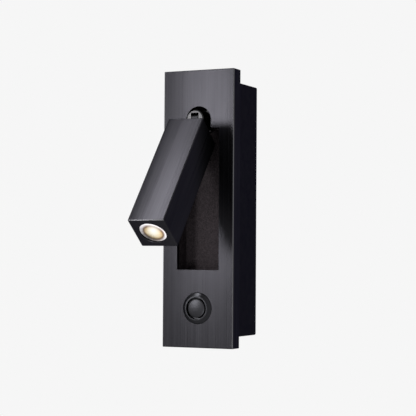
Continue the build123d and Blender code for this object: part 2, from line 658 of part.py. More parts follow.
HEAD_WIRE_R = 0.65
STEM_WIRE_X = 0.8
SLOT_WIRE_X = 1.5
SLOT_WIRE_Y = (HEAD_BORE_W - WIRE_SLOT_DEPTH) / 2
with BuildPart() as head_leads:
    for side in (1, -1):
        route = [
            head_point(side * STEM_WIRE_X, 0, WIRE_EXIT + 1.0),
            head_point(side * STEM_WIRE_X, 0, STEM_END + 8.0),
            head_point(side * SLOT_WIRE_X, SLOT_WIRE_Y, SINK_TOP_D - 10.0),
            head_point(side * SLOT_WIRE_X, SLOT_WIRE_Y, BOARD_D - BOARD_T),
        ]
        wire(route, HEAD_WIRE_R, bend=6.0)
finish(head_leads, "head_leads")

# ---------------------------------------------------------------- push switch
# A metal push switch: bezel and threaded barrel in one, seal, nut, cap, return spring and contact block.
BEZEL_FRONT_Y = FRONT_Y - BEZEL_PROUD
RIM_OUTER_R = 8.75
RIM_INNER_R = 7.85
GROOVE_DEPTH = 1.1
SLIDING = 0.08  # radial clearance of the button and of its plunger
GUIDE_R = CAP_R + SLIDING
GUIDE_BACK_Y = FRONT_Y + 2.7
FLANK_R = 10.5  # the bezel's rounded flank passes this radius
FLANK_Y = FRONT_Y - 1.5
BARREL_BORE_R = 7.9
BARREL_END_Y = 6.0
SEAL_R = 11.0
SEAL_T = 0.7

with BuildPart() as switch_bezel:
    with BuildSketch(Plane.YZ):
        with BuildLine():
            Polyline(
                (BEZEL_FRONT_Y, SWITCH_Z + RIM_INNER_R),
                (BEZEL_FRONT_Y, SWITCH_Z + RIM_OUTER_R),
            )
            ThreePointArc(
                (BEZEL_FRONT_Y, SWITCH_Z + RIM_OUTER_R),
                (FLANK_Y, SWITCH_Z + FLANK_R),
                (FRONT_Y, SWITCH_Z + BEZEL_R),
            )
            Polyline(
                (FRONT_Y, SWITCH_Z + BEZEL_R),
                (FRONT_Y, SWITCH_Z + SEAL_R),
                (FRONT_Y - SEAL_T, SWITCH_Z + SEAL_R),
                (FRONT_Y - SEAL_T, SWITCH_Z + BARREL_R),
                (BARREL_END_Y, SWITCH_Z + BARREL_R),
                (BARREL_END_Y, SWITCH_Z + BARREL_BORE_R),
                (GUIDE_BACK_Y, SWITCH_Z + BARREL_BORE_R),
                (GUIDE_BACK_Y, SWITCH_Z + GUIDE_R),
                (BEZEL_FRONT_Y + GROOVE_DEPTH, SWITCH_Z + GUIDE_R),
                (BEZEL_FRONT_Y + GROOVE_DEPTH, SWITCH_Z + RIM_INNER_R),
                (BEZEL_FRONT_Y, SWITCH_Z + RIM_INNER_R),
            )
        make_face()
    revolve(axis=SWITCH_AXIS)
finish(switch_bezel, "switch_bezel")

with BuildPart() as switch_seal:
    tube(at_depth(FRONT_Y), SEAL_T - RUNNING, SEAL_R - RUNNING, SWITCH_HOLE_R, (0, SWITCH_Z))
finish(switch_seal, "switch_seal")

SWITCH_NUT_R = 10.9  # centre to flat
SWITCH_NUT_T = 4.0
with BuildPart() as switch_nut:
    with BuildSketch(at_depth(PLATE_INNER_Y)):
        with Locations((0, SWITCH_Z)):
            RegularPolygon(SWITCH_NUT_R, 6, major_radius=False)
            Circle(BARREL_R + THREAD_GAP, mode=Mode.SUBTRACT)
    extrude(amount=-SWITCH_NUT_T)
    chamfer(edges().group_by(Axis.Y)[-1].filter_by(GeomType.LINE), 0.5)
finish(switch_nut, "switch_nut")

DOME_RISE = 0.45
CAP_FRONT_Y = BEZEL_FRONT_Y + 0.35
CAP_FLANGE_R = 7.6
CAP_FLANGE_T = 1.5
CAP_FLANGE_Y = GUIDE_BACK_Y + RUNNING
STEM_TIP_Y = -0.5
PLUNGER_R = 1.8
CAP_EDGE_R = 0.5
DOME_R = ((CAP_R - CAP_EDGE_R) ** 2 + DOME_RISE**2) / (2 * DOME_RISE)
BLOCK_FRONT_Y = -2.0
BLOCK_END_Y = 16.0
PLUNGER_ROOM = STEM_TIP_Y + CAP_TRAVEL + 1.5 - BLOCK_FRONT_Y

with BuildPart() as switch_button:
    with BuildSketch(Plane.YZ):
        with BuildLine():
            dome = JernArc(
                start=(CAP_FRONT_Y - DOME_RISE, SWITCH_Z),
                tangent=(0, 1),
                radius=DOME_R,
                arc_size=-degrees(asin((CAP_R - CAP_EDGE_R) / DOME_R)),
            )
            Polyline(
                (CAP_FRONT_Y - DOME_RISE, SWITCH_Z),
                (STEM_TIP_Y, SWITCH_Z),
                (STEM_TIP_Y, SWITCH_Z + PLUNGER_R),
                (CAP_FLANGE_Y + CAP_FLANGE_T, SWITCH_Z + PLUNGER_R),
                (CAP_FLANGE_Y + CAP_FLANGE_T, SWITCH_Z + CAP_FLANGE_R),
                (CAP_FLANGE_Y, SWITCH_Z + CAP_FLANGE_R),
                (CAP_FLANGE_Y, SWITCH_Z + CAP_R),
                (CAP_FRONT_Y + CAP_EDGE_R, SWITCH_Z + CAP_R),
                dome @ 1,
            )
        make_face()
    revolve(axis=SWITCH_AXIS)
finish(switch_button, "switch_button")

SPRING_WIRE_R = 0.35
SPRING_COIL_R = 3.6
SPRING_FRONT_Y = CAP_FLANGE_Y + CAP_FLANGE_T + SPRING_WIRE_R + RUNNING
SPRING_LEN = BLOCK_FRONT_Y - SPRING_WIRE_R - RUNNING - SPRING_FRONT_Y
SPRING_TURNS = 4

with BuildPart() as switch_spring:
    with BuildLine() as coil:
        Helix(
            pitch=SPRING_LEN / SPRING_TURNS,
            height=SPRING_LEN,
            radius=SPRING_COIL_R,
            center=(0, SPRING_FRONT_Y, SWITCH_Z),
            direction=(0, 1, 0),
        )
    with BuildSketch(Plane(origin=coil.line @ 0, z_dir=coil.line % 0)):
        Circle(SPRING_WIRE_R)
    sweep(path=coil.line, is_frenet=True)
finish(switch_spring, "switch_spring")

BLOCK_R = 8.8
BLADE_X = 4.0
BLADE_LEN = 7.0
BLADE_T = 0.8
BLADE_W = 4.8
with BuildPart() as switch_block:
    tube(at_depth(BARREL_END_Y), BARREL_END_Y - BLOCK_FRONT_Y, BARREL_BORE_R - RUNNING, spot=(0, SWITCH_Z))
    tube(at_depth(BLOCK_END_Y), BLOCK_END_Y - BARREL_END_Y, BLOCK_R, spot=(0, SWITCH_Z))
    tube(at_depth(BLOCK_FRONT_Y), -PLUNGER_ROOM, PLUNGER_R + SLIDING, spot=(0, SWITCH_Z), mode=Mode.SUBTRACT)
finish(switch_block, "switch_block")

with BuildPart() as switch_terminals:
    with BuildSketch(at_depth(BLOCK_END_Y)):
        with Locations((-BLADE_X, SWITCH_Z), (BLADE_X, SWITCH_Z)):
            Rectangle(BLADE_T, BLADE_W)
    extrude(amount=-BLADE_LEN)
finish(switch_terminals, "switch_terminals")

# ---------------------------------------------------------------- LED driver
# A plastic case with two ears, screwed to the tray's back, and in it the circuit board and its main parts.
DRIVER_W = 30.0
DRIVER_LEN = 62.0
DRIVER_T = 21.0
DRIVER_WALL = 1.5
EAR_T = 2.0
EAR_W = 14.0
EAR_LEN = 80.0
EAR_CORNER_R = 4.0
LID_T = 1.5
DRIVER_BACK_Y = DRIVER_Y + DRIVER_T
CIRCUIT_Y = DRIVER_Y + 4.5  # the circuit board's front face
CIRCUIT_T = 1.6
CIRCUIT_BACK_Y = CIRCUIT_Y + CIRCUIT_T
CIRCUIT_GAP = 0.6
LID_GAP = 0.2
LEAD_PORT_Y = 20.0
LEAD_PORT_LEN = 11.0
LEAD_PORT_W = 3.6

with BuildPart() as driver_case:
    with BuildSketch(at_depth(DRIVER_Y)):
        with Locations((0, DRIVER_Z)):
            RectangleRounded(DRIVER_W, DRIVER_LEN, DRIVER_WALL)
    extrude(amount=-DRIVER_T)
    with BuildSketch(at_depth(DRIVER_Y)):
        with Locations((0, DRIVER_Z)):
            RectangleRounded(EAR_W, EAR_LEN, EAR_CORNER_R)
    extrude(amount=-EAR_T)
    with BuildSketch(at_depth(DRIVER_BACK_Y)):
        with Locations((0, DRIVER_Z)):
            Rectangle(DRIVER_W - 2 * DRIVER_WALL, DRIVER_LEN - 2 * DRIVER_WALL)
    extrude(amount=DRIVER_T - DRIVER_WALL, mode=Mode.SUBTRACT)
    for spot in DRIVER_SPOTS:
        tube(at_depth(DRIVER_Y), -EAR_T, BACKING_HOLE_R + 0.1, spot=spot, mode=Mode.SUBTRACT)
    with BuildSketch(Plane.XY):
        with Locations((0, LEAD_PORT_Y)):
            SlotOverall(LEAD_PORT_LEN, LEAD_PORT_W)
    extrude(amount=DRIVER_LEN, both=True, mode=Mode.SUBTRACT)
finish(driver_case, "driver_case")

with BuildPart() as driver_lid:
    with BuildSketch(at_depth(DRIVER_BACK_Y)):
        with Locations((0, DRIVER_Z)):
            Rectangle(DRIVER_W - 2 * DRIVER_WALL - LID_GAP, DRIVER_LEN - 2 * DRIVER_WALL - LID_GAP)
    extrude(amount=LID_T)
finish(driver_lid, "driver_lid")

with BuildPart() as driver_board:
    with BuildSketch(at_depth(CIRCUIT_Y)):
        with Locations((0, DRIVER_Z)):
            Rectangle(DRIVER_W - 2 * DRIVER_WALL - CIRCUIT_GAP, DRIVER_LEN - 2 * DRIVER_WALL - CIRCUIT_GAP)
    extrude(amount=-CIRCUIT_T)
finish(driver_board, "driver_board")

TRANSFORMER_W = 14.0
TRANSFORMER_H = 13.0
TRANSFORMER_T = 11.0
with BuildPart() as driver_transformer:
    with BuildSketch(at_depth(CIRCUIT_BACK_Y)):
        with Locations((0, DRIVER_Z + 2.0)):
            RectangleRounded(TRANSFORMER_W, TRANSFORMER_H, 1.0)
    extrude(amount=-TRANSFORMER_T)
finish(driver_transformer, "driver_transformer")

with BuildPart() as driver_capacitors:
    tube(at_depth(CIRCUIT_BACK_Y), length=-11.0, outer=4.0, spot=(-7.5, DRIVER_Z - 12.0))
    tube(at_depth(CIRCUIT_BACK_Y), length=-9.0, outer=3.2, spot=(8.5, DRIVER_Z + 15.0))
finish(driver_capacitors, "driver_capacitors")

with BuildPart() as driver_screws:
    seat = facing_wall(DRIVER_Y + EAR_T)
    for spot in DRIVER_SPOTS:
        screw(seat, spot, head_r=2.7, head_t=1.8, shank_r=TAP_R, shank_len=EAR_T + 2.8)
finish(driver_screws, "driver_screws")

# ---------------------------------------------------------------- supply side of the box
# The mains cable comes in through a rubber grommet to a three-way terminal block; the earth has a screw.
GROMMET_BORE_R = 3.5
GROMMET_LIP_R = 7.5
GROMMET_LIP_T = 1.6
GROMMET_EDGE_R = 0.6
TERMINAL_W = 25.0
TERMINAL_H = 15.0
TERMINAL_T = 14.0
TERMINAL_FRONT_Y = BOX_INNER_Y - TERMINAL_T
POLE_PITCH = 8.0
POLE_HOLE_R = 1.6
POLE_Y = BOX_INNER_Y - 6.0
TERMINAL_STEP = 11.0
POLE_DEPTH = 5.5
CLAMP_HOLE_R = 2.0
CLAMP_DEPTH = 8.0
POLE_ROW = 4.5  # the clamp screws lie this far above and below the block's middle
POLES = [(x, TERMINAL_SPOT[1] + z) for x in (-POLE_PITCH, 0, POLE_PITCH) for z in (-POLE_ROW, POLE_ROW)]

with BuildPart() as cable_grommet:
    tube(at_depth(BOX_BACK_Y), BOX_WALL, GROMMET_HOLE_R, spot=(0, CABLE_Z))
    tube(at_depth(BOX_BACK_Y), -GROMMET_LIP_T, GROMMET_LIP_R, spot=(0, CABLE_Z))
    tube(at_depth(BOX_INNER_Y), GROMMET_LIP_T, GROMMET_LIP_R, spot=(0, CABLE_Z))
    fillet(edges().filter_by(GeomType.CIRCLE).group_by(Axis.Y)[0], GROMMET_EDGE_R)
    fillet(edges().filter_by(GeomType.CIRCLE).group_by(Axis.Y)[-1], GROMMET_EDGE_R)
    with BuildSketch(at_depth(BOX_BACK_Y + GROMMET_LIP_T)):
        with Locations((0, CABLE_Z)):
            Circle(GROMMET_BORE_R)
    extrude(amount=2 * GROMMET_LIP_T + BOX_WALL, mode=Mode.SUBTRACT)
finish(cable_grommet, "cable_grommet")

with BuildPart() as terminal_block:
    with BuildSketch(at_depth(BOX_INNER_Y)):
        with Locations(TERMINAL_SPOT):
            RectangleRounded(TERMINAL_W, TERMINAL_H, 0.8)
    extrude(amount=TERMINAL_T)
    with BuildSketch(at_depth(TERMINAL_FRONT_Y)):
        with Locations(*POLES):
            Circle(CLAMP_HOLE_R)
    extrude(amount=-CLAMP_DEPTH, mode=Mode.SUBTRACT)
    with BuildSketch(Plane.XY.offset(TERMINAL_SPOT[1] + TERMINAL_H / 2)):
        with Locations((-POLE_PITCH, POLE_Y), (0, POLE_Y), (POLE_PITCH, POLE_Y)):
            Circle(POLE_HOLE_R)
    extrude(amount=-POLE_DEPTH, mode=Mode.SUBTRACT)
    with BuildSketch(Plane.XY.offset(TERMINAL_SPOT[1] - TERMINAL_H / 2)):
        with Locations((-POLE_PITCH, POLE_Y), (0, POLE_Y), (POLE_PITCH, POLE_Y)):
            Circle(POLE_HOLE_R)
    extrude(amount=POLE_DEPTH, mode=Mode.SUBTRACT)
    tube(at_depth(TERMINAL_FRONT_Y), -TERMINAL_T, TERMINAL_SCREW_R, spot=TERMINAL_SPOT, mode=Mode.SUBTRACT)
    tube(at_depth(TERMINAL_FRONT_Y), -TERMINAL_STEP, POLE_HOLE_R, spot=TERMINAL_SPOT, mode=Mode.SUBTRACT)
finish(terminal_block, "terminal_block")

CLAMP_SUNK = 1.0
CLAMP_SCREW_LEN = 5.4
with BuildPart() as terminal_screws:
    for spot in POLES:
        tube(at_depth(TERMINAL_FRONT_Y + CLAMP_SUNK), -CLAMP_SCREW_LEN, CLAMP_HOLE_R - 0.1, spot=spot)
    with BuildSketch(at_depth(TERMINAL_FRONT_Y + CLAMP_SUNK)):
        with Locations(*POLES):
            Rectangle(2 * CLAMP_HOLE_R, DRIVE_SLOT_W, rotation=20)
    extrude(amount=-DRIVE_SLOT_DEPTH, mode=Mode.SUBTRACT)
finish(terminal_screws, "terminal_screws")

with BuildPart() as terminal_fixing_screw:
    seat_y = TERMINAL_FRONT_Y + TERMINAL_STEP
    shank_r = TERMINAL_SCREW_R - THREAD_GAP
    shank_len = BOX_BACK_Y - seat_y
    screw(at_depth(seat_y), TERMINAL_SPOT, head_r=1.5, head_t=1.4, shank_r=shank_r, shank_len=shank_len)
finish(terminal_fixing_screw, "terminal_fixing_screw")

with BuildPart() as earth_screw:
    shank_r = EARTH_HOLE_R - THREAD_GAP
    screw(at_depth(BOX_INNER_Y), EARTH_SPOT, head_r=3.2, head_t=2.2, shank_r=shank_r, shank_len=BOX_WALL)
finish(earth_screw, "earth_screw")

# ---------------------------------------------------------------- wires held in the box
# Live to the switch, switched live and neutral to the driver, earth to the box, and the driver's two output
# wires through the knuckle's bore. The short loop that crosses the tilt pin is left out.
MAINS_WIRE_R = 0.9
POLE_IN_Z = TERMINAL_SPOT[1] - 2.5
PORT_IN_BOTTOM = DRIVER_Z - DRIVER_LEN / 2 + 3.0
PORT_IN_TOP = DRIVER_Z + DRIVER_LEN / 2 - 3.0
BLADE_END_Y = BLOCK_END_Y + BLADE_LEN

with BuildPart() as live_lead:
    wire(
        [
            (-POLE_PITCH, POLE_Y, POLE_IN_Z),
            (-POLE_PITCH, POLE_Y, -56.0),
            (-BLADE_X, BLADE_END_Y + 8.0, SWITCH_Z),
            (-BLADE_X, BLADE_END_Y, SWITCH_Z),
        ],
        MAINS_WIRE_R,
        5.0,
    )
finish(live_lead, "live_lead")

with BuildPart() as switched_lead:
    wire(
        [
            (BLADE_X, BLADE_END_Y, SWITCH_Z),
            (BLADE_X, BLADE_END_Y + 8.0, SWITCH_Z),
            (BLADE_X, BLADE_END_Y + 8.0, -52.0),
            (3.0, LEAD_PORT_Y, -42.0),
            (3.0, LEAD_PORT_Y, PORT_IN_BOTTOM),
        ],
        MAINS_WIRE_R,
        4.0,
    )
finish(switched_lead, "switched_lead")

with BuildPart() as neutral_lead:
    wire(
        [
            (0, POLE_Y, POLE_IN_Z),
            (0, POLE_Y, -36.0),
            (-3.0, LEAD_PORT_Y, -46.0),
            (-3.0, LEAD_PORT_Y, PORT_IN_BOTTOM),
        ],
        MAINS_WIRE_R,
        5.0,
    )
finish(neutral_lead, "neutral_lead")

with BuildPart() as earth_lead:
    wire(
        [
            (POLE_PITCH, POLE_Y, POLE_IN_Z),
            (POLE_PITCH, POLE_Y, 34.0),
            (EARTH_SPOT[0], BOX_INNER_Y - 1.3, 30.0),
            (EARTH_SPOT[0], BOX_INNER_Y - 1.3, EARTH_SPOT[1] + 3.3),
        ],
        MAINS_WIRE_R,
        3.0,
    )
finish(earth_lead, "earth_lead")

with BuildPart() as output_leads:
    for side in (1, -1):
        wire(
            [
                (side * 0.9, LEAD_PORT_Y, PORT_IN_TOP),
                (side * 0.9, LEAD_PORT_Y, PIVOT_Z),
                (side * 0.9, SLOT_BACK_Y + 0.7, PIVOT_Z),
            ],
            HEAD_WIRE_R,
            5.0,
        )
finish(output_leads, "output_leads")
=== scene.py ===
# %% [markdown]
# # A bedside reading lamp, dressed for its photograph
# The lamp is a slim black plate on a wall. A square spot head hangs from a round knuckle above a recess,
# tilts out on a pin and folds back in. Under the recess sits a push switch. The construction already exists
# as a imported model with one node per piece, so this file adds what a model for checking lacks: finishes,
# a few finer pieces, light and a camera. Everything is in metres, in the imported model's own frame:
# X to the right, +Y into the wall, +Z up, with the wall's surface at Y = 0.

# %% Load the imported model
import json
import math

import bmesh
import bpy
import numpy as np
from mathutils import Matrix, Vector


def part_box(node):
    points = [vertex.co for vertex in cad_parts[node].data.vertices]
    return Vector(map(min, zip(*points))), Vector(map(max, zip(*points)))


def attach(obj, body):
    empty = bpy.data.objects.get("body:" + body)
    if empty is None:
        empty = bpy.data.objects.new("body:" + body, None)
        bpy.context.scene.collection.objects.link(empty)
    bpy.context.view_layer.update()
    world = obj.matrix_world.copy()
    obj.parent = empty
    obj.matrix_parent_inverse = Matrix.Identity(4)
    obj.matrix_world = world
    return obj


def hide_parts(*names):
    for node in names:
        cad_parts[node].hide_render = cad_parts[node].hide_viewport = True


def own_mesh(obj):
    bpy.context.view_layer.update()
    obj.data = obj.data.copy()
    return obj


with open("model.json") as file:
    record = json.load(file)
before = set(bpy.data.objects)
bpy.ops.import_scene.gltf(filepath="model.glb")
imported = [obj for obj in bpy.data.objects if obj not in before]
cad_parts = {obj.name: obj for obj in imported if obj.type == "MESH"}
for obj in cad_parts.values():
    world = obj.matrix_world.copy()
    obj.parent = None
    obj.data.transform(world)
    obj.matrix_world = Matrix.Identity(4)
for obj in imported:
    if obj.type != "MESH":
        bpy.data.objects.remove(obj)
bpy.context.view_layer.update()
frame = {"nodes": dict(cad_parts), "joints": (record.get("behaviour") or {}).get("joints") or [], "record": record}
nodes = frame["nodes"]
MM = 0.001

# %% [markdown]
# ## Where things are
# The finishes follow the pieces: the plate is brushed up and down, the head along its own length, and the
# switch is turned on a lathe. So the script needs three places: the tilt pin, the head's directions and the
# switch's axis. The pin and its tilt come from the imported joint, and the switch's axis from the button's box.

# %% Find the tilt pin, the head's direction and the switch
joints = {joint["name"]: joint for joint in frame["joints"]}
PIVOT = Vector(joints["head_tilt"]["pos_m"])
TILT = math.radians(-joints["head_tilt"]["range_deg"][0])  # folding the head in takes it back by its tilt
HEAD_DOWN = Vector((0, -math.sin(TILT), -math.cos(TILT)))  # along the head, away from the pin
HEAD_FRONT = Vector((0, -math.cos(TILT), math.sin(TILT)))  # out of the head's front face
ACROSS = Vector((1, 0, 0))
button_low, button_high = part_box("switch_button")
SWITCH = Vector((0, 0, (button_low.z + button_high.z) / 2))
print("pivot", tuple(PIVOT), "tilt", round(math.degrees(TILT), 2), "switch height", round(SWITCH.z, 4))

# %% [markdown]
# ## The camera
# The photograph was taken from the right of the lamp and a little below its middle, with a long lens, so
# the plate's edges hardly converge. The camera stands a metre away. Its place and angles make the plate's,
# the box's and the head's corners fall where the photograph has them.

# %% Place the camera
FRAME_PIXELS = 416
FOCAL_PIXELS = 1400
SENSOR = 36.0
CAMERA_SPOT = Vector((0.44125, -0.91431, -0.03617))
CAMERA_YAW = math.radians(25.622)
CAMERA_PITCH = math.radians(2.081)
CAMERA_ROLL = math.radians(0.368)

camera_data = bpy.data.cameras.new("photo_camera")
camera_data.sensor_width = SENSOR
camera_data.lens = SENSOR * FOCAL_PIXELS / FRAME_PIXELS
camera_data.clip_start = 0.01
camera = bpy.data.objects.new("photo_camera", camera_data)
camera.matrix_world = (
    Matrix.Translation(CAMERA_SPOT)
    @ Matrix.Rotation(CAMERA_YAW, 4, "Z")
    @ Matrix.Rotation(math.pi / 2 + CAMERA_PITCH, 4, "X")
    @ Matrix.Rotation(CAMERA_ROLL, 4, "Z")
)
bpy.context.scene.collection.objects.link(camera)
bpy.context.scene.camera = camera
bpy.context.scene.view_settings.view_transform = "Standard"  # colours come out as they are written
print("camera", round((CAMERA_SPOT - PIVOT).length, 3), "m from the pin, lens", round(camera_data.lens, 1))

# %% [markdown]
# ## Arithmetic on node sockets
# A procedural finish is a formula: streaks times a strength, plus a level. Written as nodes it sprawls, so
# one small class wraps an output socket and gives it Python's operators. `0.3 + 0.1 * streaks` then adds
# its two Math nodes by itself. Every other kind of node comes from one method, `add`.

# %% A class that turns expressions into Math nodes
class Flow:
    """An output socket. Operators on it add Math nodes; add() makes any other node in its tree."""

    def __init__(self, socket):
        self.socket = socket
        self.tree = socket.node.id_data

    def add(self, kind, settings=None, inputs=None, output=0):
        """A new node: settings first (a ramp's are its stops), then a value or a link for each input."""
        node = self.tree.nodes.new("ShaderNode" + kind)
        for name, value in (settings or {}).items():
            if name == "stops":
                ramp = node.color_ramp.elements
                while len(ramp) < len(value):
                    ramp.new(1.0)
                for element, (place, colour) in zip(ramp, value):
                    element.position, element.color = place, (*colour, 1.0)
            else:
                setattr(node, name, value)
        for name, value in (inputs or {}).items():
            link(value, node.inputs[name])
        return Flow(node.outputs[output])

    def math(self, operation, first, second=0.0):
        return self.add("Math", {"operation": operation}, {0: first, 1: second})

    def __add__(self, other):
        return self.math("ADD", self, other)

    def __sub__(self, other):
        return self.math("SUBTRACT", self, other)

    def __rsub__(self, other):
        return self.math("SUBTRACT", other, self)

    def __mul__(self, other):
        return self.math("MULTIPLY", self, other)

    __radd__ = __add__
    __rmul__ = __mul__


def link(value, socket):
    """Joins a Flow to a socket, or sets the socket to a plain value."""
    if isinstance(value, Flow):
        value.tree.links.new(value.socket, socket)
    elif hasattr(value, "__len__") and len(value) == 3 and socket.type == "RGBA":
        socket.default_value = (*value, 1.0)
    else:
        socket.default_value = value


# %% [markdown]
# ## Room and light
# The lamp stands in front of a plain pale ground. It is a wall lamp, so the floor lies a metre below it.
# The ground is pale only to the camera and to what mirrors it; to the rest it is a dim grey, so the soft
# lamps do the lighting. One tall soft box stands in front, to the left, and its light slides off the brushed
# plate. Another hangs above for the tilted head. A third is weak, low and almost straight in front, and it
# lifts the recess and the underside out of the black. All three are hidden from the camera.

# %% Make the surroundings
PALE = (0.922, 0.922, 0.922)
DIM = (0.20, 0.20, 0.205)
FLOOR_DROP = 1.1
FLOOR_RADIUS = 6.0
FLOOR_CORNERS = 96


def seen_or_mirrored(flow):
    """1 for rays from the camera, from a mirror or through glass, else 0."""
    seen = Flow(flow.tree.nodes.new("ShaderNodeLightPath").outputs["Is Camera Ray"])
    path = seen.socket.node
    total = seen + Flow(path.outputs["Is Glossy Ray"]) + Flow(path.outputs["Is Transmission Ray"])
    return total.math("MINIMUM", total, 1.0)


world = bpy.data.worlds.new("studio")
world.use_nodes = True
bpy.context.scene.world = world
ground = world.node_tree.nodes["Background"]
start = Flow(world.node_tree.nodes.new("ShaderNodeLightPath").outputs[0])
mask = seen_or_mirrored(start)
colour = start.add("MixRGB", inputs={"Fac": mask, "Color1": DIM, "Color2": PALE})
link(colour, ground.inputs["Color"])

angles = np.linspace(0, 2 * np.pi, FLOOR_CORNERS, endpoint=False)
rim = np.stack([np.cos(angles), np.sin(angles), 0 * angles], 1) * FLOOR_RADIUS - [0, 0, FLOOR_DROP]
floor_mesh = bpy.data.meshes.new("floor")
floor_mesh.from_pydata(rim.tolist(), [], [list(range(FLOOR_CORNERS))])
floor = bpy.data.objects.new("floor", floor_mesh)
bpy.context.scene.collection.objects.link(floor)
floor_finish = bpy.data.materials.new("pale_floor")
floor_finish.use_nodes = True
tree = floor_finish.node_tree
shader = tree.nodes["Principled BSDF"]
shader.inputs["Roughness"].default_value = 0.9
shader.inputs["Base Color"].default_value = (0.8, 0.8, 0.8, 1.0)
start = Flow(tree.nodes.new("ShaderNodeLightPath").outputs[0])
glow = start.add("Emission", inputs={"Color": PALE, "Strength": 1.0})
shown = start.add("MixShader", inputs={0: seen_or_mirrored(start), 1: Flow(shader.outputs[0]), 2: glow})
link(shown, tree.nodes["Material Output"].inputs["Surface"])
floor_mesh.materials.append(floor_finish)

# %% Hang the soft lamps


def soft_box(name, spot, aim, width, height, watts):
    """A rectangular area lamp at a spot, turned to a point, that the camera doesn't see."""
    data = bpy.data.lights.new(name, "AREA")
    data.shape = "RECTANGLE"
    data.size, data.size_y = width, height
    data.energy = watts
    lamp = bpy.data.objects.new(name, data)
    lamp.location = spot
    lamp.rotation_euler = (Vector(aim) - Vector(spot)).to_track_quat("-Z", "Y").to_euler()
    lamp.visible_camera = False
    bpy.context.scene.collection.objects.link(lamp)


soft_box("front_left", (-0.41, -0.74, 0.105), (0, 0, 0.02), 0.16, 0.30, 3.0)
soft_box("overhead", (-0.31, -0.30, 0.72), (0, -0.05, 0.02), 0.25, 0.25, 3.2)
soft_box("low_fill", (0.06, -0.83, -0.30), (0, 0, 0), 0.30, 0.30, 1.7)

# %% [markdown]
# ## Finishes
# Each finish starts from a Principled shader with its constant settings, and a pattern worked out from
# Object coordinates, which lie still on the piece from every view.

# %% Helpers for finishes


def new_finish(name, constants):
    """A material, its Principled shader with some constants set, and its Object coordinates as a Flow."""
    finish = bpy.data.materials.new(name)
    finish.use_nodes = True
    shader = finish.node_tree.nodes["Principled BSDF"]
    for socket, value in constants.items():
        link(value, shader.inputs[socket])
    place = Flow(finish.node_tree.nodes.new("ShaderNodeTexCoord").outputs["Object"])
    return finish, shader, place


def grain(place, sizes, detail=2.0, turn=(0, 0, 0)):
    """Noise from 0 to 1 whose blotches have the given sizes in metres along X, Y and Z, turned as given."""
    scale = [1 / size for size in sizes]
    turned = place.add("Mapping", inputs={"Vector": place, "Rotation": turn})
    stretched = place.add("Mapping", inputs={"Vector": turned, "Scale": scale})
    return place.add("TexNoise", inputs={"Vector": stretched, "Scale": 1.0, "Detail": detail})


def tinted(flow, dark, light):
    """A colour between two, by a value from 0 to 1."""
    return flow.add("MixRGB", inputs={"Fac": flow, "Color1": dark, "Color2": light})


def bumped(height, depth, strength=1.0, under=None):
    """A surface normal from heights of 0 to 1 that stand for a depth in metres, on top of another bump."""
    inputs = {"Height": height, "Distance": depth, "Strength": strength}
    if under:
        inputs["Normal"] = under
    return height.add("Bump", inputs=inputs)


def coordinate(place, index):
    """One of the three numbers of a vector."""
    return place.add("SeparateXYZ", inputs={"Vector": place}, output=index)


# %% [markdown]
# ### Brushed black aluminium
# The plate and the head are aluminium, brushed with a belt along their length and dyed nearly black. Light
# spreads wide across the brush lines and little along them. Thousands of lines finer than a pixel, as bump,
# do just that, and a few broader ones make the soft streaks that the eye picks out. A belt never leaves a
# face quite flat: the hollow plate ends up very slightly dished and the stiff head very slightly crowned, so
# their shine fades towards one side or the other. Along the edges a painted highlight, a thin band of lighter
# colour, stands in for the shine of the rounded edges.

# %% Brushed black aluminium
BLACK_EDGE = (0.40, 0.40, 0.42)  # how much of a mirror a black metal becomes at a glancing angle
EDGE_HIGHLIGHT = (0.10, 0.099, 0.105)  # painted highlight: the lighter colour along an edge, for the shine of its rounding
BOW = math.tan(math.radians(6.5))  # slope that a face's bow has reached at its edges


def brushed(name, lean, half_width, bow, edge):
    """Lines along Z, leant over about X, on a bow: height = slope * x squared / (2 * half width).

    The edge is a list of planes, each a normal and a distance: past all of them the colour is lightened, a painted
    highlight."""
    finish, shader, place = new_finish(name, {"Metallic": 1.0, "Specular Tint": BLACK_EDGE})
    turn = (lean, 0, 0)
    lines = grain(place, (0.00010, 0.00010, 0.02), 3.0, turn)
    streaks = grain(place, (0.0009, 0.0009, 0.15), 2.0, turn)
    clouds = grain(place, (0.012, 0.012, 0.05), 2.0, turn)
    across = coordinate(place, 0)
    bowed = bumped(across * across * (bow / (2 * half_width)), 1.0)
    tone = 1.3 * streaks + 0.6 * clouds - 0.45
    dyed = tinted(tone, (0.0150, 0.0146, 0.0168), (0.0290, 0.0283, 0.0322))
    # Painted highlight: a thin band along the edges gets a lighter colour, for the shine of the rounded edges.
    edge_shine = 1.0
    for normal, distance in edge:
        past = place.add("VectorMath", {"operation": "DOT_PRODUCT"}, {0: place, 1: normal}, "Value")
        edge_shine = past.math("GREATER_THAN", past.math("ABSOLUTE", past), distance) * edge_shine
    shown = place.add("MixRGB", inputs={"Fac": edge_shine, "Color1": dyed, "Color2": EDGE_HIGHLIGHT})
    link(shown, shader.inputs["Base Color"])
    link(0.22 + 0.10 * streaks + 0.06 * lines, shader.inputs["Roughness"])
    link(bumped(lines, 0.00001, 0.6, bowed), shader.inputs["Normal"])
    return finish


face_low, face_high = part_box("faceplate")
head_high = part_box("head_shell")[1]
HIGHLIGHT_SIDE, HIGHLIGHT_FRONT = 0.0005, 0.0006  # how wide the painted edge highlight is on the plate's side and front edges
HIGHLIGHT_BELOW, HIGHLIGHT_BEYOND = 0.1060, 0.0132  # where the head's painted edge highlight starts, below and before the pin
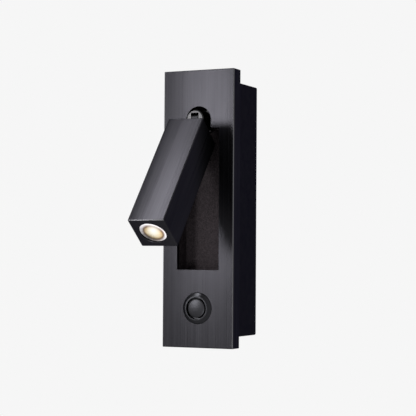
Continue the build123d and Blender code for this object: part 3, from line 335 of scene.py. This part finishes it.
# Painted highlight bands along the plate's and the head's edges.
plate_highlight = [(ACROSS, face_high.x - HIGHLIGHT_SIDE), ((0, -1, 0), -face_low.y - HIGHLIGHT_FRONT)]
head_highlight = [
    (HEAD_DOWN, HEAD_DOWN.dot(PIVOT) + HIGHLIGHT_BELOW),
    (HEAD_FRONT, HEAD_FRONT.dot(PIVOT) + HIGHLIGHT_BEYOND),
]
plate_finish = brushed("brushed_plate", 0.0, face_high.x, BOW, plate_highlight)
head_finish = brushed("brushed_head", TILT, head_high.x, -BOW, head_highlight)

# %% [markdown]
# ### Sand-textured paint
# The recess is sprayed with a textured paint: matt, faintly brown, with grains of about a millimetre that
# catch the light. The grains are a noise whose peaks are both lighter and higher.

# %% Sand-textured paint


def sanded(name):
    """Grains a little under a millimetre: their height drives the bump, and their tops are lighter."""
    finish, shader, place = new_finish(name, {"Specular IOR Level": 0.06})
    grains = grain(place, (0.0008,) * 3, 3.0)
    speckle = grain(place, (0.0022,) * 3, 2.0)
    stops = [(0.30, (0, 0, 0)), (0.62, (0.55, 0.55, 0.55)), (0.74, (1, 1, 1))]
    tops = grains.add("ValToRGB", {"stops": stops}, {"Fac": 0.7 * grains + 0.3 * speckle})
    link(tinted(tops, (0.009, 0.0072, 0.0080), (0.090, 0.0740, 0.0810)), shader.inputs["Base Color"])
    link(0.50 + 0.25 * speckle, shader.inputs["Roughness"])
    link(bumped(grains, 0.0005), shader.inputs["Normal"])
    return finish


# %% [markdown]
# ### Turned metal
# The switch and the knuckle come off a lathe. The tool leaves fine rings round the axis, and they draw the
# light out into two soft wedges, as on a pan's bottom. The rings are a noise of the distance from the axis,
# and along the barrel of the distance along it.

# %% Turned metal


def lathed(name, dark, light, rough, centre, constants):
    """Rings about an axis along Y through a centre: noise(distance from the axis, distance along it)."""
    finish, shader, place = new_finish(name, {"Metallic": 1.0, **constants})
    flat = place.add("VectorMath", {"operation": "SUBTRACT"}, {0: place, 1: centre})
    level = place.add("VectorMath", {"operation": "MULTIPLY"}, {0: flat, 1: (1, 0, 1)})
    reach = place.add("VectorMath", {"operation": "LENGTH"}, {0: level}, "Value")
    polar = place.add("CombineXYZ", inputs={"X": reach, "Y": coordinate(flat, 1)})
    rings = grain(polar, (0.00012, 0.00012, 1.0), 3.0)
    bands = grain(polar, (0.0011, 0.0011, 1.0), 2.0)
    link(tinted(bands, dark, light), shader.inputs["Base Color"])
    link(rough + 0.08 * rings, shader.inputs["Roughness"])
    link(bumped(rings, 0.000008, 0.6), shader.inputs["Normal"])
    return finish


# %% [markdown]
# ### Paints, plastics and plain metals
# Powder coat, moulded plastic, rubber, plated steel and brass are all a colour, a roughness and a fine
# uneven surface. One function makes them. Broad clouds in the colour stand for the small differences of
# a dye or a plating bath.

# %% Evenly grained finishes
FINE = 0.0003  # size of the usual grain, metres


def grained(name, dark, light, rough, depth, size=FINE, constants=None):
    """A colour between two and a roughness, both following round grains of a size and a depth in metres."""
    finish, shader, place = new_finish(name, constants or {})
    grains = grain(place, (size, size, size), 3.0)
    clouds = grain(place, (12 * size,) * 3, 2.0)
    link(tinted(clouds, dark, light), shader.inputs["Base Color"])
    link(rough + 0.12 * (grains + clouds) - 0.12, shader.inputs["Roughness"])
    link(bumped(grains, depth), shader.inputs["Normal"])
    return finish


METAL = {"Metallic": 1.0}
BLACKENED = {"Metallic": 1.0, "Specular Tint": BLACK_EDGE}
switch_finish = lathed(
    "switch_metal", (0.019, 0.019, 0.021), (0.027, 0.027, 0.030), 0.27, SWITCH, {"Specular Tint": BLACK_EDGE}
)
knuckle_finish = lathed(
    "turned_steel", (0.021, 0.0205, 0.0215), (0.036, 0.0355, 0.037), 0.24, PIVOT,
    {"Specular Tint": (0.33, 0.33, 0.33)},
)
finishes = {
    "anodised_aluminium": plate_finish,
    "textured_paint": sanded("sand_paint"),
    "switch_metal": switch_finish,
    "satin_steel": knuckle_finish,
    "black_steel": grained(
        "powder_coat", (0.014, 0.0135, 0.016), (0.019, 0.0185, 0.021), 0.42, 0.00001, 0.0004, BLACKENED
    ),
    "dark_steel": grained(
        "blackened_steel", (0.020, 0.020, 0.022), (0.032, 0.032, 0.035), 0.4, 6e-6, FINE, BLACKENED
    ),
    "zinc_steel": grained("zinc_plate", (0.50, 0.51, 0.55), (0.66, 0.66, 0.62), 0.3, 4e-6, FINE, METAL),
    "spring_steel": grained("spring_strip", (0.34, 0.34, 0.36), (0.46, 0.45, 0.44), 0.28, 3e-6, FINE, METAL),
    "brass": grained("turned_brass", (0.62, 0.45, 0.18), (0.80, 0.62, 0.30), 0.28, 4e-6, FINE, METAL),
    "copper_plated": grained("contact", (0.66, 0.42, 0.28), (0.80, 0.56, 0.40), 0.3, 3e-6, FINE, METAL),
    "plain_aluminium": grained("slug", (0.60, 0.60, 0.62), (0.75, 0.75, 0.76), 0.3, 4e-6, FINE, METAL),
    "rubber": grained("moulded_rubber", (0.012, 0.012, 0.012), (0.025, 0.024, 0.023), 0.7, 0.00001),
    "nylon": grained("natural_nylon", (0.70, 0.69, 0.62), (0.82, 0.81, 0.75), 0.45, 5e-6),
    "black_plastic": grained("black_moulding", (0.012, 0.012, 0.013), (0.022, 0.022, 0.024), 0.5, 8e-6),
    "white_plastic": grained("white_moulding", (0.72, 0.72, 0.70), (0.82, 0.82, 0.80), 0.4, 6e-6),
    "circuit_board": grained("green_board", (0.01, 0.10, 0.04), (0.03, 0.2, 0.08), 0.35, 0.00002, 0.0008),
    "white_board": grained("white_mask", (0.75, 0.75, 0.73), (0.85, 0.85, 0.83), 0.35, 6e-6),
    "ferrite": grained("taped_winding", (0.55, 0.42, 0.06), (0.75, 0.62, 0.14), 0.4, 0.00001, 0.0006),
    "brown_sleeve": grained("brown_sleeve", (0.12, 0.05, 0.02), (0.18, 0.08, 0.035), 0.35, 4e-6),
    "blue_sleeve": grained("blue_sleeve", (0.02, 0.08, 0.32), (0.04, 0.13, 0.45), 0.35, 4e-6),
    "green_sleeve": grained("green_sleeve", (0.05, 0.25, 0.05), (0.10, 0.36, 0.08), 0.35, 4e-6),
    "red_sleeve": grained("red_sleeve", (0.36, 0.02, 0.02), (0.50, 0.04, 0.04), 0.35, 4e-6),
}

# %% [markdown]
# ### Light
# The lamp is switched on. A real spot lens shows an enlarged picture of its emitter: a white heart, a golden
# field round it, a thin brown band where the dome ends, and a pale rim that scatters what is left. Tracing
# that through clear plastic takes long and is noisy at this size, so the lens itself carries the picture as
# an emission that depends on the distance from its axis: painted light, with the brown band as painted shade.
# The rim is painted brighter towards the front and the right, a painted highlight.

# %% The lens and the emitter


LENS_RADIUS = 0.0096
FIELD_SPOT = -0.0012 * HEAD_FRONT - 0.0004 * ACROSS  # the golden field's middle, beside the lens's axis
HEART_SPOT = 0.0024 * HEAD_FRONT + 0.0014 * ACROSS  # the white heart's middle
LIT_SIDE = 0.48 * HEAD_FRONT + 0.52 * ACROSS  # painted highlight: the way in which the glow grows stronger, and by how much


def lens_finish():
    """Colour = ramp(distance from the field's middle) * level, and white near the heart's middle.

    Level = a constant + spokes round the axis + (place beside the axis) . (the lit side)."""
    finish, shader, place = new_finish(
        "lit_optic", {"Roughness": 0.12, "IOR": 1.49, "Specular IOR Level": 0.35, "Emission Strength": 1.0}
    )
    centre = place.add("VectorMath", {"operation": "SUBTRACT"}, {0: place, 1: PIVOT})
    along = place.add("VectorMath", {"operation": "DOT_PRODUCT"}, {0: centre, 1: HEAD_DOWN}, "Value")
    foot = place.add("VectorMath", {"operation": "SCALE"}, {0: tuple(HEAD_DOWN), "Scale": along})
    away = place.add("VectorMath", {"operation": "SUBTRACT"}, {0: centre, 1: foot})

    def distance(point):
        """How far from a point beside the axis, in lens radii."""
        gap = place.add("VectorMath", {"operation": "SUBTRACT"}, {0: away, 1: point})
        return place.add("VectorMath", {"operation": "LENGTH"}, {0: gap}, "Value") * (1 / LENS_RADIUS)

    # The dark stop at 0.72 is the brown band, painted shade at the dome's foot.
    stops = [
        (0.0, (1.0, 0.93, 0.74)),
        (0.46, (0.93, 0.76, 0.47)),
        (0.62, (0.66, 0.46, 0.22)),
        (0.72, (0.14, 0.07, 0.02)),
        (0.78, (0.40, 0.29, 0.24)),
        (0.86, (0.86, 0.82, 0.84)),
        (1.0, (1.0, 0.97, 1.0)),
    ]
    field = place.add("ValToRGB", {"stops": stops}, {"Fac": distance(FIELD_SPOT)})
    heart = 1.15 - 2.1 * distance(HEART_SPOT)
    facing = away.add("VectorMath", {"operation": "NORMALIZE"}, {0: away})
    spokes = facing.add("TexNoise", inputs={"Vector": facing, "Scale": 6.0, "Detail": 3.0})
    lit = away.add("VectorMath", {"operation": "DOT_PRODUCT"}, {0: away, 1: LIT_SIDE}, "Value")
    level = 0.54 + 0.65 * spokes + lit * (1 / LENS_RADIUS)
    field = field.add("VectorMath", {"operation": "SCALE"}, {0: field, "Scale": level})
    link(tinted(heart, field, (1.0, 1.0, 0.96)), shader.inputs["Emission Color"])
    link((0.05, 0.05, 0.05), shader.inputs["Base Color"])
    return finish


finishes["clear_optic"] = lens_finish()
phosphor, shader, place = new_finish("phosphor", {"Emission Strength": 4.0, "Roughness": 0.6})
dots = grain(place, (0.0002,) * 3)
link(tinted(dots, (1.0, 0.70, 0.25), (1.0, 0.85, 0.45)), shader.inputs["Emission Color"])
finishes["led_phosphor"] = phosphor

# %% [markdown]
# ## Dress the nodes
# The record names each node's material slot, so one loop gives every node its finish. The head's shell and
# cap take the brushed finish that leans with the head.

# %% Give every node its finish
slots = {part["node"]: part["material_slot"] for part in frame["record"]["subparts"]}
for name, piece in nodes.items():
    finish = head_finish if name in ("head_shell", "head_cap") else finishes[slots[name]]
    piece.data.materials.clear()
    piece.data.materials.append(finish)
print(len(nodes), "nodes dressed in", len(bpy.data.materials), "finishes")

# %% [markdown]
# ## Small pieces, as surfaces from arrays
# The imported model's small parts are plain, so that they can be checked. The looks want threads, rolled
# edges and soft bends. Nearly all of these parts come off a lathe or out of a bending tool, and such a
# shape is one grid of points: rows along a profile, columns round an axis or across a strip. numpy works
# the whole grid out at once, and one helper joins the points with quads.

# %% Grids of points to a piece


def piece_from(name, node, body, finish, grids, sharp=32.0):
    """A piece in a node's place, from grids of points (rows, columns, 3): each row is a closed ring.

    Face(i, j) = points (i, j), (i+1, j), (i+1, j+1), (i, j+1). Rows that shrink to a point close an end."""
    points, faces, count = [], [], 0
    for grid in grids:
        rows, columns = grid.shape[:2]
        index = np.arange(rows * columns).reshape(rows, columns) + count
        index = np.hstack([index, index[:, :1]])
        corners = [index[:-1, :-1], index[1:, :-1], index[1:, 1:], index[:-1, 1:]]
        faces.append(np.stack(corners, -1).reshape(-1, 4))
        points.append(grid.reshape(-1, 3))
        count += rows * columns
    spots = np.concatenate(points)
    mesh = bpy.data.meshes.new(name)
    mesh.from_pydata(spots.tolist(), [], np.concatenate(faces).tolist())
    work = bmesh.new()
    work.from_mesh(mesh)
    bmesh.ops.remove_doubles(work, verts=work.verts, dist=1e-7)
    bmesh.ops.recalc_face_normals(work, faces=work.faces)
    work.to_mesh(mesh)
    work.free()
    mesh.polygons.foreach_set("use_smooth", np.ones(len(mesh.polygons), bool))
    mesh.set_sharp_from_angle(angle=math.radians(sharp))
    mesh.materials.append(finish)
    piece = bpy.data.objects.new(name, mesh)
    bpy.context.scene.collection.objects.link(piece)
    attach(piece, body)
    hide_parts(node)
    low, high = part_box(node)
    over = max((np.array(low) - spots.min(0)).max(), (spots.max(0) - np.array(high)).max()) / MM
    print(name, len(mesh.polygons), "faces,", round(over, 3), "mm past its node's box")
    return piece


def rounded(corners, radii, steps=5):
    """A line through corners, each turned into a curve between points its radius away on both edges.

    Point(t) = (1-t)^2 * before + 2t(1-t) * corner + t^2 * after, for t from 0 to 1."""
    corners = np.array(corners, float)
    radii = np.broadcast_to(np.array(radii, float), len(corners)).copy()
    radii[[0, -1]] = 0.0
    back = np.roll(corners, 1, 0) - corners
    ahead = np.roll(corners, -1, 0) - corners
    reach_back = np.linalg.norm(back, axis=1, keepdims=True) + 1e-9
    reach_ahead = np.linalg.norm(ahead, axis=1, keepdims=True) + 1e-9
    before = corners + back / reach_back * np.minimum(radii[:, None], 0.45 * reach_back)
    after = corners + ahead / reach_ahead * np.minimum(radii[:, None], 0.45 * reach_ahead)
    t = np.linspace(0, 1, steps)[:, None]
    curve = (1 - t) ** 2 * before[:, None] + 2 * t * (1 - t) * corners[:, None] + t**2 * after[:, None]
    return curve.reshape(-1, 2)


def lathe(profile, origin, axis, columns=96, along_more=0.0, radius_more=0.0, radius_cap=None):
    """A profile of (distance along the axis, radius) in millimetres, carried round the axis.

    Point(s, a) = origin + along(s, a) * axis + radius(s, a) * (cos a * side + sin a * up)."""
    turn = np.linspace(0, 2 * np.pi, columns, endpoint=False)
    axis = Vector(axis).normalized()
    side = Vector((1, 0, 0))
    up = axis.cross(side)
    ring = np.cos(turn)[:, None] * np.array(side) + np.sin(turn)[:, None] * np.array(up)
    along = profile[:, :1] + along_more + 0 * turn
    radius = profile[:, 1:] + radius_more + 0 * turn
    if radius_cap is not None:
        radius = np.minimum(radius, radius_cap)
    return np.array(origin) + MM * (along[..., None] * np.array(axis) + radius[..., None] * ring)


def thread(profile, start, end, pitch, depth, columns):
    """What a screw thread takes off a barrel's radius, with a run-out at both ends.

    Cut(s, a) = - depth * |2 * fraction(along / pitch - a / turn) - 1|, only between start and end."""
    along = profile[:, :1]
    turn = np.linspace(0, 1, columns, endpoint=False)
    wave = np.abs(2 * np.mod(along / pitch - turn, 1.0) - 1)
    inside = np.clip((along - start) / pitch, 0, 1) * np.clip((end - along) / pitch, 0, 1)
    return -depth * wave * inside


def hexagon(flat, columns):
    """A nut's radius at each angle: flat / cos(angle from the middle of its side)."""
    turn = np.linspace(0, 360, columns, endpoint=False)
    return flat / np.cos(np.radians(np.mod(turn, 60) - 30))


# %% [markdown]
# ### The lens
# The spot lens is one moulded piece. Its sides bulge like a bullet and gather the emitter's light, and its
# front is a low dome in a shallow ring-shaped dish. All of it is round, so a profile turned about the
# head's axis makes it, with small rounded corners as a mould leaves them.

# %% Make the lens
RIM_D, LENS_FACE_D, DOME_TOP_D = 104.8, 105.4, 106.4  # distances below the pin, millimetres
DISH_D, DISH_R, DOME_FOOT_R = 104.6, 9.0, 7.6
dome_drop = (np.linspace(0, 1, 24)[:, None]) * DOME_FOOT_R
dome_line = np.hstack([DOME_TOP_D - (DOME_TOP_D - DISH_D) * (dome_drop / DOME_FOOT_R) ** 2, dome_drop])
lens_cup = rounded([(97.8, 0), (97.8, 2.6), (94.3, 2.6), (94.3, 4.2)], [0, 0.8, 0.2, 0])
t = np.linspace(0, 1, 24)[:, None]
bullet = (1 - t) ** 2 * (94.3, 4.2) + 2 * t * (1 - t) * (98.8, 8.2) + t**2 * (103.3, 9.6)
lens_front = rounded(
    [(103.3, 9.6), (103.3, 11.2), (RIM_D, 11.2), (RIM_D, 9.6), (LENS_FACE_D, 9.6), (LENS_FACE_D, DISH_R),
     (DISH_D, DOME_FOOT_R)],
    [0, 0.15, 0.2, 0.05, 0.15, 0.2, 0],
)
lens_profile = np.vstack([lens_cup, bullet, lens_front, dome_line[::-1]])
piece_from(
    "spot_lens", "lens", "head", finishes["clear_optic"], [lathe(lens_profile, PIVOT, HEAD_DOWN, 128)]
)

# %% [markdown]
# ### The push switch
# From outside, the switch shows a bezel with a rolled flank, a flat rim, a dark groove and the domed button.
# Behind the plate its barrel carries a fine thread of 1 mm pitch for the nut. The thread is the barrel's
# profile with a wave taken off that climbs by one pitch in each turn.

# %% Make the bezel with its threaded barrel
BEZEL_FRONT, BARREL_END = -13.3, 6.0  # places along Y, millimetres
bezel_line = rounded(
    [(BEZEL_FRONT, 7.85), (BEZEL_FRONT, 8.75), (-11.6, 11.05), (-11.0, 11.4), (-11.0, 11.0), (-11.7, 11.0),
     (-11.7, 9.4)],
    [0, 0.2, 0.3, 0.08, 0.1, 0.1, 0],
)
barrel = np.linspace((-11.7, 9.4), (BARREL_END, 9.4), 150)
bore_line = rounded(
    [(BARREL_END, 9.4), (BARREL_END, 7.9), (-8.3, 7.9), (-8.3, 6.83), (-10.4, 6.83), (-10.4, 7.85),
     (BEZEL_FRONT, 7.85)],
    [0, 0.2, 0.1, 0.1, 0.15, 0.2, 0],
)
bezel_profile = np.vstack([bezel_line, barrel, bore_line])
bezel_thread = thread(bezel_profile, -7.4, 5.6, 1.0, 0.35, 96) * (bezel_profile[:, 1:] > 9.3)
bezel_thread *= (bezel_profile[:, :1] > -11.5)
piece_from(
    "switch_collar", "switch_bezel", "housing", switch_finish,
    [lathe(bezel_profile, (0, 0, SWITCH.z), (0, 1, 0), 96, radius_more=bezel_thread)],
)

# %% Make the button
dome_r = np.linspace(0, 6.1, 20)[:, None]
button_dome = np.hstack([-13.4 + 0.42 * (dome_r / 6.1) ** 2, dome_r])
button_line = rounded(
    [(-12.98, 6.1), (-12.75, 6.75), (-8.25, 6.75), (-8.25, 7.6), (-6.75, 7.6), (-6.75, 1.8), (-0.5, 1.8),
     (-0.5, 0)],
    [0, 0.35, 0.1, 0.2, 0.2, 0.3, 0.5, 0],
)
piece_from(
    "turned_button", "switch_button", "button", switch_finish,
    [lathe(np.vstack([button_dome, button_line]), (0, 0, SWITCH.z), (0, 1, 0), 96)],
)

# %% [markdown]
# ### Nuts
# A nut is a hexagon with both faces turned to a cone, so that its corners don't scratch. As a lathe shape,
# that is a profile whose radius is capped by the hexagon's radius at each angle.

# %% Make the three nuts


def nut(name, node, body, face, axis, flat, thickness, bore, finish):
    """A hexagon nut: radius(s, a) = the smaller of the chamfered profile and the hexagon."""
    corner = flat / math.cos(math.radians(30))
    slope = (corner - flat) * 0.6
    profile = np.array([
        (0, bore), (0, flat * 0.97), (slope, corner), (thickness - slope, corner), (thickness, flat * 0.97),
        (thickness, bore), (0, bore),
    ])
    grid = lathe(profile, face, axis, 72, radius_cap=hexagon(flat, 72))
    return piece_from(name, node, body, finish, [grid], 20.0)


zinc = finishes["zinc_steel"]
nut("panel_nut", "switch_nut", "housing", (0, -0.008, SWITCH.z), (0, 1, 0), 10.9, 4.0, 9.43, zinc)
nut("pivot_nut", "knuckle_nut", "housing", (0, 0.0077, PIVOT.z), (0, 1, 0), 7.0, 4.0, 5.03, zinc)
nut("stem_nut", "tongue_nut", "head", PIVOT + HEAD_DOWN * 0.018, HEAD_DOWN, 5.0, 3.0, 3.03, zinc)

# %% [markdown]
# ### Screws
# The screws are the pan-head and countersunk kind that comes in a lamp's bag of parts. One function makes
# them: a rounded head with a cross pressed in, and a shank whose thread fades in under the head.

# %% Make the screws
HEAD_ROWS = 14  # rows of points over a screw's head, enough to draw the cross


def screw_grid(seat, axis, head_r, head_t, shank_r, length, sunk=False):
    """One screw. The cross is where |x| < w and |y| < l or the other way round, in the head's top."""
    top = np.hstack([np.full((HEAD_ROWS, 1), head_t), np.linspace(0, 0.80 * head_r, HEAD_ROWS)[:, None]])
    if sunk:
        side = np.array([(head_t, head_r), (0, shank_r)])
    else:
        side = rounded([(head_t, 0.80 * head_r), (0.75 * head_t, head_r), (0, head_r), (0, shank_r)],
                       [0, 0.3 * head_t, 0.1 * head_t, 0])
    rows = max(12, int(length / 0.09))
    shank = np.linspace((0, shank_r), (-length + 0.35 * shank_r, shank_r), rows)
    tip = np.array([(-length, 0.6 * shank_r), (-length, 0)])
    profile = np.vstack([top, side, shank, tip])
    columns = 32
    turn = np.linspace(0, 2 * np.pi, columns, endpoint=False)
    x, y = np.abs(profile[:, 1:] * np.cos(turn)), np.abs(profile[:, 1:] * np.sin(turn))
    wide, deep = 0.17 * head_r, 0.62 * head_r
    inside = np.minimum(x, y) < wide
    inside = inside & (np.maximum(x, y) < deep) & (np.arange(len(profile)) < HEAD_ROWS)[:, None]
    cut = -0.55 * head_t * inside
    groove = thread(profile, -length + 0.3 * shank_r, -0.1, 0.45, 0.14 * shank_r, columns)
    groove = groove * (profile[:, :1] < -0.05) * (profile[:, 1:] > 0.9 * shank_r)
    return lathe(profile, seat, axis, columns, along_more=cut, radius_more=groove)


def corner_spots(node, head_r, y):
    """The seats of a node's four screws, a head's radius in from the corners of its box."""
    low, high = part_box(node)
    return [(x, y, z) for x in (low.x + head_r * MM, high.x - head_r * MM)
            for z in (low.z + head_r * MM, high.z - head_r * MM)]


TO_WALL, TO_ROOM = (0, 1, 0), (0, -1, 0)
piece_from("flange_screws", "tray_screws", "housing", zinc,
           [screw_grid(spot, TO_WALL, 2.2, 1.4, 1.0, 3.2)
            for spot in corner_spots("tray_screws", 2.2, -0.0068)])
piece_from("sunk_screws", "backing_screws", "housing", zinc,
           [screw_grid(spot, TO_WALL, 2.5, 1.3, 1.25, 6.0, True)
            for spot in corner_spots("backing_screws", 2.5, -0.0020)])
piece_from("strip_screws", "spring_screws", "housing", zinc,
           [screw_grid(spot, TO_WALL, 1.8, 1.1, 1.0, 2.6)
            for spot in corner_spots("spring_screws", 1.8, 0.0001)])
ears_low, ears_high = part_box("driver_screws")
piece_from("ear_screws", "driver_screws", "housing", zinc,
           [screw_grid((0, 0.0105, z), TO_WALL, 2.7, 1.8, 1.25, 4.8)
            for z in (ears_low.z + 0.0027, ears_high.z - 0.0027)])
piece_from("ground_screw", "earth_screw", "housing", finishes["brass"],
           [screw_grid((0.012, 0.0463, 0.020), TO_ROOM, 3.2, 2.2, 1.9, 1.2)])
piece_from("block_screw", "terminal_fixing_screw", "housing", zinc,
           [screw_grid((0, 0.0433, 0.0455), TO_ROOM, 1.5, 1.4, 1.07, 4.2)])
piece_from("star_screws", "board_screws", "head", zinc,
           [screw_grid(PIVOT + HEAD_DOWN * 0.0935 + Vector((x, 0, 0)), HEAD_DOWN, 1.7, 1.1, 0.85, 6.6)
            for x in (-0.0076, 0.0076)])

# %% [markdown]
# ### Springs
# Two bent steel strips hold the lamp in its box: a wide foot under two screws, a straight leg, and a crest
# that snaps into a window. Each is one strip carried along its bent line, with soft bends as a press makes
# them. The button's return spring is a wire on a helix whose end turns lie close. It shortens as the button
# goes in, so it is squashed towards the contact block.

# %% Make the retaining strips


def strip(line, widths, thickness):
    """A flat strip along a line in the YZ plane: corner(s, k) = line(s) +- width/2 along X +- half its
    thickness along the line's normal."""
    ahead = np.gradient(line, axis=0)
    ahead /= np.linalg.norm(ahead, axis=1, keepdims=True) + 1e-12
    normal = np.stack([-ahead[:, 1], ahead[:, 0]], 1)
    across = np.array([-1, 1, 1, -1]) * 0.5
    out = np.array([1, 1, -1, -1]) * 0.5 * thickness
    x = widths[:, None] * across
    yz = line[:, None, :] + normal[:, None, :] * out[None, :, None]
    grid = np.concatenate([x[..., None], yz], -1)
    ends = [np.broadcast_to(grid[i].mean(0), (1, 4, 3)) for i in (0, -1)]
    return MM * np.concatenate([ends[0], grid, ends[1]])


def without_repeats(line):
    """The line with only the points that move on from the one before."""
    keep = np.concatenate([[True], np.linalg.norm(np.diff(line, axis=0), axis=1) > 1e-6])
    return line[keep]


STRIP_T = 0.6
strips = []
for way in (1, -1):
    bent = rounded(
        [(-0.2, 83.0), (-0.2, 88.1), (10.0, 88.1), (18.0, 91.75), (28.8, 86.75)], [0, 1.0, 3.0, 2.6, 0], 9
    )
    bent = without_repeats(bent)
    far = np.linspace(bent[-2], bent[-1], 6)[1:]
    bent = np.vstack([bent[:-1], far])
    widths = np.interp(bent[:, 0], [0.3, 3.5, 22.0, 28.8], [23.4, 12.0, 12.0, 8.5])
    strips.append(strip(bent * (1, way), widths, STRIP_T))
piece_from("catch_strips", "retaining_springs", "housing", finishes["spring_steel"], strips, 40.0)

# %% Make the button's return spring
COIL_R, WIRE_R, COILS = 3.6, 0.33, 4.5
coil_front, coil_back = -6.37, -2.38  # the wire's middle at both ends, along Y
turns = np.linspace(0, COILS, 240)
climb = np.clip((turns - 0.75) / (COILS - 1.5), 0, 1)
lift = coil_front + 0.45 * np.minimum(turns, 0.75) + 0.45 * np.clip(turns - COILS + 0.75, 0, 0.75)
lift += climb * (coil_back - coil_front - 0.675)
centre = np.stack([COIL_R * np.cos(2 * np.pi * turns), lift, COIL_R * np.sin(2 * np.pi * turns)], 1)
ahead = np.gradient(centre, axis=0)
ahead /= np.linalg.norm(ahead, axis=1, keepdims=True)
outward = centre * (1, 0, 1) / COIL_R
outward -= (outward * ahead).sum(1, keepdims=True) * ahead
outward /= np.linalg.norm(outward, axis=1, keepdims=True)
third = np.cross(ahead, outward)
around = np.linspace(0, 2 * np.pi, 12, endpoint=False)
shell = np.cos(around)[None, :, None] * outward[:, None] + np.sin(around)[None, :, None] * third[:, None]
tube = centre[:, None] + WIRE_R * shell
tube = np.concatenate([np.broadcast_to(centre[:1, None], (1, 12, 3)), tube,
                       np.broadcast_to(centre[-1:, None], (1, 12, 3))])
tube = MM * tube + np.array((0, 0, SWITCH.z))
spring = piece_from("return_spring", "switch_spring", "housing", finishes["spring_steel"], [tube], 50.0)
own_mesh(spring)

# %% [markdown]
# ### The cable's grommet
# A rubber grommet lines the hole where the supply cable comes in at the back. It is moulded in one with two
# rolled lips and a shallow step, and it is the one soft thing on the steel back.

# %% Make the grommet
grommet_line = rounded(
    [(44.7, 3.5), (44.7, 6.2), (45.1, 7.5), (46.3, 7.5), (46.3, 5.5), (47.5, 5.5), (47.5, 7.5), (48.6, 7.5),
     (49.1, 6.4), (49.1, 5.2), (48.8, 4.8), (48.8, 4.2), (49.1, 3.9), (49.1, 3.5), (44.7, 3.5)],
    [0, 0.4, 0.4, 0.2, 0.1, 0.1, 0.2, 0.5, 0.3, 0.2, 0.2, 0.2, 0.2, 0.3, 0],
)
piece_from("rubber_grommet", "cable_grommet", "housing", finishes["rubber"],
           [lathe(grommet_line, (0, 0, 0.078), (0, 1, 0), 72)])
